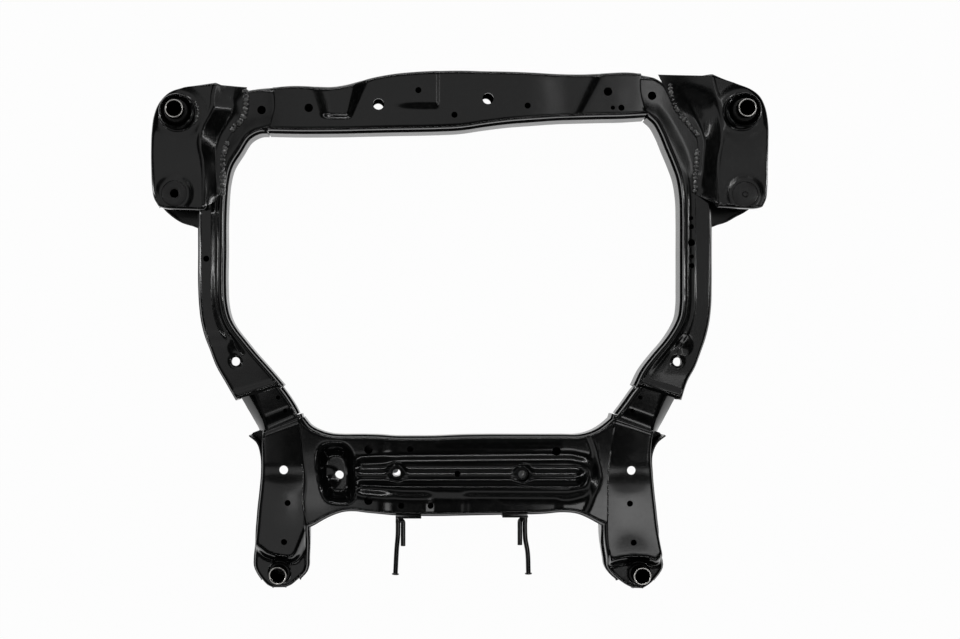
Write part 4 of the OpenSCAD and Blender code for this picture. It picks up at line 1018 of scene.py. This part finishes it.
# %% Rear crossmember: forms
def rear_form(x, y, s):
    """Heights of the forms pressed into the rear crossmember."""
    down, over = y - 475.5, x - 336 - (y - 475.5) * 0.07
    corner = 1 + 0.16 * ease(0, 40, down - over)
    pocket = 1 - ease(0.52, 1.04, (np.abs(over / 19.5) ** 3 + np.abs(down / 33.0) ** 3) ** (1 / 3) * corner)
    hump = disc((327, 480), 1, 13, x, y) * pocket
    seam = 601 - ((y - 472) / 38) ** 2 * 9.5
    waist = ease(378, 396, x) * (1 - ease(seam - 7, seam, x))
    bed = soft_inside(BED, -5, 7, 3.5, x, y) * (1 - pocket)
    ridge = np.cos(np.clip(np.abs(y - 478) / 12.5, 0, 1) * math.pi / 2) ** 2
    ridge = ridge * (1 - ease(576, 592, x)) * (1 - pocket)
    rear_step = patch((430, 496, 466, 530), 12, x, y) + 0.5 * patch((466, 500, 560, 530), 8, x, y)
    front_step = patch((438, 430, 560, 446), 8, x, y)
    rings = sum(disc(c, 8.5, 11, x, y) for c in COLLARS)
    level = (9 * ridge - 10) * bed * ease(350, 362, x)
    level = level * (1 - rings) - 2.5 * rings
    return -28 * pocket + 4 * hump - 2.6 * waist * (1 - bed) + level - 2.2 * rear_step - 1.4 * front_step


print("floor of the pocket, mm:", round(float(rear_form(336.0, 475.5, 0.5)), 1))

# %% Rear crossmember: pieces
rear_rows = shell_rows(REAR_ROWS, REAR_TOP, REAR_TOP - SKIRT, rear_form, top_columns=56)
rear_rows = lap_onto(lap_onto(rear_rows, REAR_LEFT_SEAM, False), REAR_RIGHT_SEAM, True)
rear_upper = press("rear_crossmember_upper_shell", rear_rows)
punch(rear_upper, REAR_HOLES, REAR_TOP - PUNCH_DEPTH, REAR_TOP + PUNCH_RISE)
punch(rear_upper, [(*c, COLLAR_HOLE) for c in COLLARS], REAR_TOP - PUNCH_DEPTH, REAR_TOP + PUNCH_RISE)
finish_piece(rear_upper, ["rear_crossmember_upper"])
press_tray("rear_crossmember_lower_shell", REAR_ROWS, 20, REAR_TRAY_HOLES, "rear_crossmember_lower")
print("rear crossmember:", len(rear_upper.data.polygons), "faces")

# %% [markdown]
# ## The control-arm brackets
# Each bracket is a raised pad with turned-down edges. From a crease it slopes down to the rail,
# where a weld bead runs along its edge. The pad is dished round the boss of the control arm.

# %% Brackets: tables
FRONT_TUBE = 62.6
BOSS = 41
BRACKETS = {
    "left": dict(
        rows=[(183, 88.5, 215, 86.5, 246.5, 87.3), (170, 93, 213.4, 96, 243.5, 99),
              (160, 103, 213, 106, 243.4, 113), (154.5, 116, 209, 116, 235.5, 126),
              (152.2, 132, 203, 128, 228, 137), (151.5, 150, 200.3, 143, 223, 150),
              (151.7, 170, 203.5, 160, 221, 165), (152.6, 188, 205, 178, 220.6, 180),
              (154.6, 199, 205, 194, 220.5, 191), (158.6, 206, 205, 207.5, 219, 197.5)],
        plate=[(186, 87.5, 2), (170, 90.5, 2.5), (160, 98, 3), (155, 107, 3.5), (152.6, 122, 4),
               (152, 140, 4.5), (152.2, 162, 5), (153.2, 188, 6), (156.5, 203, 6.5), (166, 212.5, 6.8),
               (177, 219.5, 7.1), (189, 223, 7.3)],
        axis=(178.6, 113.8), boss=(175, 194), rail=LEFT_RAIL),
    "right": dict(
        rows=[(735, 84.5, 712.5, 78, 659, 74.5), (750, 90, 714, 88, 666, 88),
              (759, 97, 716.5, 97, 673, 102), (764.5, 108, 719.5, 108, 681, 114),
              (767.4, 124, 721.5, 122, 690, 124), (767.6, 145, 721, 140, 698, 138),
              (767, 168, 717.5, 158, 698.5, 158), (766.6, 188, 716.5, 178, 697, 176),
              (765.2, 200, 717, 193, 696, 187), (762.2, 206.5, 717.4, 204.5, 697, 193)],
        plate=[(730, 84, 2), (749, 91, 2.5), (758.5, 98.5, 3), (764, 108, 3.5), (766.8, 124, 4),
               (767, 140, 4.5), (766.8, 162, 5), (766, 188, 6), (763, 200, 6.4), (753, 208.5, 6.7),
               (743.5, 213.5, 6.9), (734, 218.8, 7.1), (724, 221.8, 7.3)],
        axis=(740.3, 113), boss=(744, 195), rail=RIGHT_RAIL)}
print("brackets:", list(BRACKETS))

# %% Brackets: rows of the upper sheet
PAD_WALL = 0.013
PAD_WALL_ROWS, PAD_FOLD_ROWS, PAD_COLUMNS = 4, 6, 34


def bracket_sheet(bracket):
    """Rows of the upper bracket sheet, from the turned-down outboard edge to the weld line."""
    lines = smooth_line(bracket["rows"], 0.0025 / ACROSS)
    outer, crease, weld = (to_metres(lines[:, k:k + 2]) for k in (0, 2, 4))
    count = len(lines)
    out_way = outer - crease
    out_way /= np.linalg.norm(out_way, axis=1)[:, None]
    foot_z, columns = PAD_TOP - PAD_WALL, []
    for k in range(PAD_WALL_ROWS):
        height = foot_z + (PAD_TOP - BEND - foot_z) * k / PAD_WALL_ROWS
        columns.append(np.column_stack([outer, np.full(count, height)]))
    for a in np.linspace(0, math.pi / 2, PAD_FOLD_ROWS):
        height = np.full(count, PAD_TOP - BEND * (1 - math.sin(a)))
        columns.append(np.column_stack([outer - out_way * BEND * (1 - math.cos(a)), height]))
    start = outer - out_way * BEND
    for s in np.linspace(0, 1, 25)[1:-1]:
        place = start + (crease - start) * s
        x, y = to_picture(place)
        raised = disc(bracket["axis"], 21, 31, x, y)
        bowl = 1.3 * disc(bracket["boss"], 14, 21, x, y)
        rest = 0.7 * swell(140, 170, 30, y) * swell(0.1, 0.9, 0.4, s)
        columns.append(np.column_stack([place, PAD_TOP + (raised - bowl - rest) / 1000]))
    fall = PAD_TOP - FRONT_TOP
    steep = ease(84, 116, lines[:, 3]) * (1 - ease(168, 204, lines[:, 3]))
    for s in np.linspace(0, 1, 25):
        even = np.mean([np.clip((s + d - 0.07) / 0.6, 0, 1) for d in (-0.05, -0.025, 0, 0.025, 0.05)])
        gentle = 0.35 * ease(0, 1, s) + 0.65 * s
        drop = fall * (even * steep + gentle * (1 - steep))
        ridge = 0.0007 * math.exp(-((s * 9) ** 2))
        columns.append(np.column_stack([crease + (weld - crease) * s, PAD_TOP - drop + ridge]))
    return np.stack(columns, 1)


def turn_pad_ends(rows):
    """Turns the front and rear edges of the pad down, and leaves the sloping part plain."""
    def one_end(rows):
        last, before = rows[-1], rows[-2]
        lead = (last - before)[:, :2]
        lead /= np.linalg.norm(lead, axis=1)[:, None]
        plain = np.clip((np.arange(rows.shape[1]) - PAD_COLUMNS) / 4, 0, 1)
        edge = 0.2 + 0.8 * ease(3, 13, np.arange(rows.shape[1]))
        high = np.clip((last[:, 2] - (PAD_TOP - PAD_WALL)) / PAD_WALL, 0, 1)
        added = []
        for k in range(1, 9):
            a = min(1, k / 5) * math.pi / 2
            fall = BEND * (1 - math.cos(a)) + (0.008 * (k - 5) / 3 if k > 5 else 0)
            row = last.copy()
            row[:, :2] += lead * (BEND * math.sin(a) * (1 - 0.75 * plain) * edge)[:, None]
            row[:, 2] -= fall * (1 - plain) * high
            added.append(row)
        return np.concatenate([rows, np.stack(added)], 0)
    return one_end(one_end(rows)[::-1])[::-1]


print("fall of a bracket from pad to rail:", round(PAD_TOP - FRONT_TOP, 4))

# %% [markdown]
# ## The lower bracket plates
# A plate closes each bracket from below. Its rim is turned up, and its inner edge stands up along
# the wall of the rail. The table gives, beside each point of the rim, the place on the rail's
# outer edge that the plate reaches from there.

# %% Brackets: rows of the lower plate
RIM_HEIGHTS, SEAT_HEIGHTS = (0.012, 0.0085), (0.012, 0.024)
PLACE_SCALE = 30


def bent_columns(edge, way, turns):
    """The bend between a wall at an edge and the flat of the plate."""
    return [np.column_stack([edge + way * BEND * (1 - math.cos(a)),
                             np.full(len(edge), UNDERSIDE + BEND * (1 - math.sin(a)))]) for a in turns]


def plate_sheet(bracket):
    """Rows of the lower bracket plate, from its turned-up outboard edge to the wall of the rail."""
    rail = np.asarray(bracket["rail"], float)
    outer, inner = to_metres(rail[:, :2]), to_metres(rail[:, 2:])
    along = np.gradient(outer, axis=0)
    side = np.stack([-along[:, 1], along[:, 0]], 1)
    side /= np.linalg.norm(side, axis=1)[:, None]
    side *= -np.sign((side * (inner - outer)).sum(1))[:, None]
    seat = outer + side * (SHEET + 2 * CLEARANCE)
    table = [(x, y, k * PLACE_SCALE, 0) for x, y, k in bracket["plate"]]
    lines = smooth_line(table, 0.005 / ACROSS)
    rim = to_metres(lines[:, :2])
    place = lines[:, 2] / PLACE_SCALE
    k = np.clip(place.astype(int), 0, len(seat) - 2)
    wall = seat[k] + (seat[k + 1] - seat[k]) * (place - k)[:, None]
    way = (wall - rim) / np.linalg.norm(wall - rim, axis=1)[:, None]
    turns = np.linspace(0, math.pi / 2, 5)
    count = len(rim)
    columns = [np.column_stack([rim, np.full(count, UNDERSIDE + z)]) for z in RIM_HEIGHTS]
    columns += bent_columns(rim, way, turns)
    for s in np.linspace(0, 1, 12)[1:-1]:
        flat = rim + way * BEND + (wall - rim - way * 2 * BEND) * s
        columns.append(np.column_stack([flat, np.full(count, UNDERSIDE)]))
    columns += bent_columns(wall, -way, turns[::-1])
    columns += [np.column_stack([wall, np.full(count, UNDERSIDE + z)]) for z in SEAT_HEIGHTS]
    return np.stack(columns, 1)


print("bend of the plates:", BEND)

# %% Brackets: pieces
PAD_PUNCH, PLATE_PUNCH = (0.04, 0.12), (0.01, 0.026)
ARM_BOLT = 14
for side, bracket in BRACKETS.items():
    tube_hole = (*bracket["axis"], FRONT_TUBE + FIT)
    upper = press(side + "_bracket_pad", turn_pad_ends(bracket_sheet(bracket)))
    punch(upper, [tube_hole], *PAD_PUNCH)
    punch(upper, [(*bracket["boss"], BOSS + FIT)], *PAD_PUNCH)
    finish_piece(upper, [side + "_bracket_upper"])
    lower = press(side + "_bracket_plate", plate_sheet(bracket), -1)
    punch(lower, [tube_hole, (*bracket["boss"], ARM_BOLT + FIT)], *PLATE_PUNCH)
    finish_piece(lower, [side + "_bracket_lower"], under_paint)
    print(side, "bracket:", len(upper.data.polygons), "faces")

# %% [markdown]
# ## The bushes, bosses and collars
# All of these are turned parts. Each one starts as a circle primitive whose points are set to the
# outline of its section. Spin turns the section round the axis of its hole.

# %% Turn round parts
def turned(name, axis_px, section, steps=72):
    """A turned part: a closed section of (radius, height) in millimetres, spun round an axis."""
    axis = to_metres(axis_px)
    bpy.ops.object.select_all(action="DESELECT")
    bpy.ops.mesh.primitive_circle_add(vertices=len(section), radius=1, fill_type="NOTHING")
    part = bpy.context.object
    part.name = name
    points = np.array([(axis[0] + r / 1000, axis[1], z / 1000) for r, z in section], np.float32)
    part.data.vertices.foreach_set("co", points.reshape(-1))
    bpy.ops.object.mode_set(mode="EDIT")
    bpy.ops.mesh.select_all(action="SELECT")
    bpy.ops.mesh.spin(steps=steps, angle=2 * math.pi, center=(axis[0], axis[1], 0), axis=(0, 0, 1))
    bpy.ops.mesh.select_all(action="SELECT")
    bpy.ops.mesh.remove_doubles(threshold=1e-6)
    bpy.ops.mesh.normals_make_consistent(inside=False)
    bpy.ops.object.mode_set(mode="OBJECT")
    return part


def paint_bore_shade(sleeve):
    """Gives all but the turned end faces of a sleeve painted shade: the dark, glossless finish that stands for the
    shade in its bore.
    """
    sleeve.data.materials.append(painted_bore_shade)
    for face in sleeve.data.polygons:
        face.material_index = 0 if abs(face.normal.z) > 0.3 else 1


print("bore finish:", painted_bore_shade.name)

# %% Bushes
FRONT_BUSH = {
    "tube": [(28.1, 15.5), (31.3, 15.5), (31.3, 91.6), (31.0, 92.5), (30.3, 93.0), (29.0, 93.0),
             (28.1, 92.2)],
    "can": [(26.0, 30.5), (27.8, 30.5), (27.8, 104.4), (27.6, 106.2), (26.9, 107.5), (25.9, 108.0),
            (24.9, 107.6), (24.9, 106.6), (25.8, 106.2), (26.0, 105.0)],
    "rubber": [(14.4, 31.5), (25.7, 31.5), (25.7, 98.0), (24.6, 99.6), (23.4, 97.6), (21.8, 91.6),
               (20.2, 93.0), (19.4, 101.0), (18.9, 107.4), (17.8, 109.6), (16.0, 110.2), (14.4, 110.2)],
    "sleeve": [(12.3, 0.0), (14.2, 0.0), (14.2, 124.2), (13.7, 125.0), (12.9, 125.0), (12.3, 124.4)]}
REAR_BUSH = {
    "tube": [(19.8, 20.8), (22.3, 20.8), (22.3, 40.0), (21.8, 40.5), (20.3, 40.5), (19.8, 40.0)],
    "can": [(17.7, 15.5), (19.5, 15.5), (19.5, 48.6), (19.2, 49.6), (18.6, 49.8), (17.9, 49.6), (17.7, 49.0)],
    "rubber": [(14.2, 16.5), (17.5, 16.5), (17.5, 48.0), (16.8, 50.2), (16.0, 51.6), (15.2, 53.0),
               (14.2, 53.4)],
    "sleeve": [(12.0, 0.0), (14.0, 0.0), (14.0, 81.4), (13.6, 82.0), (12.6, 82.0), (12.0, 81.5)]}
BUSH_LOOKS = {
    "tube": (black_paint, "painted_steel", 30), "can": (black_paint, "painted_steel", 30),
    "rubber": (rubber_black, "rubber", 50), "sleeve": (bare_steel, "bare_steel", 30)}
for side in ("left", "right"):
    for end, axis, bush in (
            ("front", BRACKETS[side]["axis"], FRONT_BUSH), ("rear", LEGS[side]["axis"], REAR_BUSH)):
        for part, section in bush.items():
            piece = turned("%s_%s_bush_%s" % (side, end, part), axis, section)
            finish_piece(piece, ["%s_%s_%s" % (side, end, part)], *BUSH_LOOKS[part])
        # The walls of each sleeve get painted shade, so that its bore looks dark.
        paint_bore_shade(finished[-1])
print("bush parts:", sum("bush" in p.name for p in finished))

# %% Bosses and collars
BOSS_WALL = [(7.0, 20.8), (20.5, 20.8), (20.5, 86.2), (20.1, 87.1), (19.3, 87.5)]
BOSS_HEADS = {
    "left": [(8.0, 87.5), (7.3, 87.1), (7.0, 86.4)],
    "right": [(5.4, 87.5), (5.0, 87.2), (4.6, 86.2), (3.8, 86.0), (3.5, 86.3), (3.3, 87.2), (3.0, 87.4),
              (0.0, 87.4), (0.0, 81.1), (6.6, 81.1), (7.0, 80.7)]}
COLLAR = [(6.5, 20.8), (10.5, 20.8), (10.5, 55.4), (10.1, 56.0), (7.3, 56.0), (6.8, 55.7), (6.5, 55.2)]
for side, head in BOSS_HEADS.items():
    boss = turned(side + "_control_arm_boss", BRACKETS[side]["boss"], BOSS_WALL + head)
    # The hole and the outer wall of each boss get painted shade: a dark shadow ring round the boss.
    paint_bore_shade(finish_piece(boss, [side + "_arm_boss"], boss_paint, angle=30))
collars = [turned("steering_collar_%d" % i, centre, COLLAR, 48) for i, centre in enumerate(COLLARS)]
choose(collars[0])
collars[1].select_set(True)
bpy.ops.object.join()
collars[0].name = "steering_gear_collars"
finish_piece(collars[0], ["steering_mount_collars"], angle=30)
print("bosses:", list(BOSS_HEADS), "collars:", len(COLLARS))

# %% [markdown]
# ## The exhaust hangers
# Each hanger is one round rod, bent double at its root, with a flared tip that holds the rubber.
# The blank is rolled round the bent line, and closed at both ends.

# %% Hanger rods
def rolled_rod(name, line, radii, sides=20):
    """A round rod along a line of points in metres, with a radius at each point."""
    line = np.asarray(line, float)
    along = np.gradient(line, axis=0)
    along /= np.linalg.norm(along, axis=1)[:, None]
    up = np.array([0, 0, 1.0])
    across = np.cross(along, up)
    across /= np.linalg.norm(across, axis=1)[:, None]
    turn = np.linspace(0, 2 * math.pi, sides + 1)
    ring = across[:, None] * np.cos(turn)[None, :, None] + up[None, None] * np.sin(turn)[None, :, None]
    rows = line[:, None] + ring * np.asarray(radii)[:, None, None]
    bpy.ops.object.select_all(action="DESELECT")
    bpy.ops.mesh.primitive_grid_add(x_subdivisions=sides, y_subdivisions=len(line) - 1, size=1)
    rod = bpy.context.object
    rod.name = name
    rod.data.vertices.foreach_set("co", rows.reshape(-1).astype(np.float32))
    bpy.ops.object.mode_set(mode="EDIT")
    bpy.ops.mesh.select_all(action="SELECT")
    bpy.ops.mesh.remove_doubles(threshold=1e-6)
    bpy.ops.mesh.normals_make_consistent(inside=False)
    bpy.ops.object.mode_set(mode="OBJECT")
    return rod


HANGER_Z = REAR_TOP - SKIRT / 2
ROD = 0.004
PLATE_DEPTH, ROD_END, ROD_ROUND = 0.003, 0.0377, 0.0003
TIP_RADII, TIP_STEP = (0.0056, 0.006, 0.006, 0.0054, 0.0), 0.0007
HANGERS = {
    "left": ((400.5, 515.8), 1, [(397.9, 521), (397.8, 538), (396.9, 548), (395.4, 575.5)]),
    "right": ((524, 514.8), -1, [(526.6, 520), (526.9, 541), (529.0, 553), (530.0, 575.0)])}
turn = ROD + CLEARANCE
for side, (place, toward, bends) in HANGERS.items():
    root = to_metres(place) + np.array([0, -(SHEET + 3 * CLEARANCE + PLATE_DEPTH) - ROD - turn])
    crown = [(root[0] + toward * turn * math.cos(a), root[1] + turn * math.sin(a), HANGER_Z)
             for a in np.linspace(0, math.pi, 13)]
    short = [(root[0] + toward * turn, root[1] - d, HANGER_Z) for d in np.linspace(ROD_END, 0, 8)[:-1]]
    long_points = [(root[0] - toward * turn, root[1])] + [tuple(p) for p in to_metres(bends)]
    long_line = [(x, y, HANGER_Z) for x, y in smooth_line(long_points, ROD)[1:]]
    line = [np.array(point) for point in short + crown + long_line]
    radii = [0.0, ROD * 0.8] + [ROD] * len(line) + list(TIP_RADII)
    tip = line[-1] - line[-2]
    tip /= np.linalg.norm(tip)
    line = [line[0] - (0, 2 * ROD_ROUND, 0), line[0] - (0, ROD_ROUND, 0)] + line
    for _ in TIP_RADII:
        line.append(line[-1] + tip * TIP_STEP)
    finish_piece(rolled_rod(side + "_exhaust_rod", line, radii), [side + "_hanger_rod"], angle=50)
print("rods:", list(HANGERS))

# %% [markdown]
# ## The plates and nuts that stay
# The hanger plates and the weld nuts are plain pressed and forged parts, and the solids already
# show all of their form. They keep their meshes and only get a finish.

# %% Paint the pieces that stay
# The weld nuts get the painted shade of the bores, so they look dark.
for node, finish in (
        ("left_hanger_plate", black_paint), ("right_hanger_plate", black_paint), ("weld_nuts", painted_bore_shade)):
    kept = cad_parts[node].data.materials
    kept.clear()
    kept.append(finish)
    print(node, "painted with", finish.name)

# %% [markdown]
# ## The weld beads
# A bead is a row of overlapping ripples, each the frozen edge of one small pool of metal. One
# ripple is modelled and copied along the line of the seam, each copy turned and sized a little
# differently, which gives the sparkle that the welds of the photograph have. Painted glints on the
# sharp edges of the ripples, from the light worn colour of their finish, add to that sparkle.

# %% Lay weld beads
chance = np.random.default_rng(7)


def lay_bead(name, line_px, height, wide, pitch, rough):
    """A weld bead along a line of picture points, at one height. Rough is how much its ripples vary."""
    bpy.ops.object.select_all(action="DESELECT")
    bpy.ops.mesh.primitive_uv_sphere_add(segments=10, ring_count=6, radius=1)
    ripple = bpy.context.object
    bpy.ops.object.shade_smooth()
    count = len(line_px)
    table = np.column_stack([to_metres(line_px), np.full(count, height), np.zeros(count)])
    path = smooth_line(table, pitch)[:, :3]
    along = np.gradient(path, axis=0)
    copies = []
    for i, place in enumerate(path):
        scale = 1 + rough * (chance.random(3) - 0.5)
        turn = math.atan2(along[i, 1], along[i, 0]) + rough * (chance.random() - 0.5)
        shift = (chance.random(3) - 0.5) * wide * 0.12
        size = (pitch * 1.25 * scale[0], wide / 2 * scale[1], wide * 0.34 * scale[2], 1)
        matrix = (Matrix.Translation(Vector(place + shift)) @ Matrix.Rotation(turn, 4, "Z")
                  @ Matrix.Diagonal(size))
        copy = ripple if i == len(path) - 1 else ripple.copy()
        if copy is not ripple:
            copy.data = ripple.data.copy()
            bpy.context.scene.collection.objects.link(copy)
        copy.data.transform(matrix)
        copies.append(copy)
    for copy in copies:
        copy.select_set(True)
    bpy.context.view_layer.objects.active = copies[0]
    bpy.ops.object.join()
    bead = bpy.context.object
    bead.name = name
    finish_piece(bead, [], weld_paint_with_glints, angle=60)


print("helper for beads ready")

# %% The beads of this frame
LAP_Z = RAIL_TOP + 0.0022
BEADS = {
    "left_bracket_weld_front": (
        [(245, 91), (245.4, 99), (245.2, 108), (243.6, 115), (239.5, 120.5), (232, 129)],
        LAP_Z + 0.0005, 0.0105, 0.0034, 0.4),
    "left_bracket_weld_rear": (
        [(226, 143), (222.8, 154), (222.2, 166), (222, 180), (221.8, 193)], LAP_Z, 0.010, 0.0034, 0.4),
    "right_bracket_weld_front": (
        [(671, 84), (672, 92), (674.5, 102), (681.5, 113.5), (690.5, 124.5), (698, 134)],
        LAP_Z + 0.0003, 0.009, 0.0032, 0.38),
    "right_bracket_weld_rear": (
        [(698.5, 150), (697.5, 163), (696.5, 176), (695.6, 190)], LAP_Z - 0.0005, 0.009, 0.0032, 0.38),
    "left_tube_weld": (
        [(196.6, 104), (198, 111), (197.6, 118), (194.6, 124.5)], PAD_TOP + 0.001, 0.0055, 0.003, 0.6),
    "rear_left_seam_weld": (
        [(301.8, 466), (303, 480), (302, 494), (303.4, 512)], REAR_TOP + 0.0001, 0.0022, 0.0018, 0.25),
    "rear_right_seam_weld": (
        [(611.6, 452), (609.3, 470), (608.8, 492), (609, 515)], REAR_TOP + 0.0003, 0.003, 0.002, 0.25)}
for name, bead in BEADS.items():
    lay_bead(name, *bead)
print("weld beads:", len(BEADS))
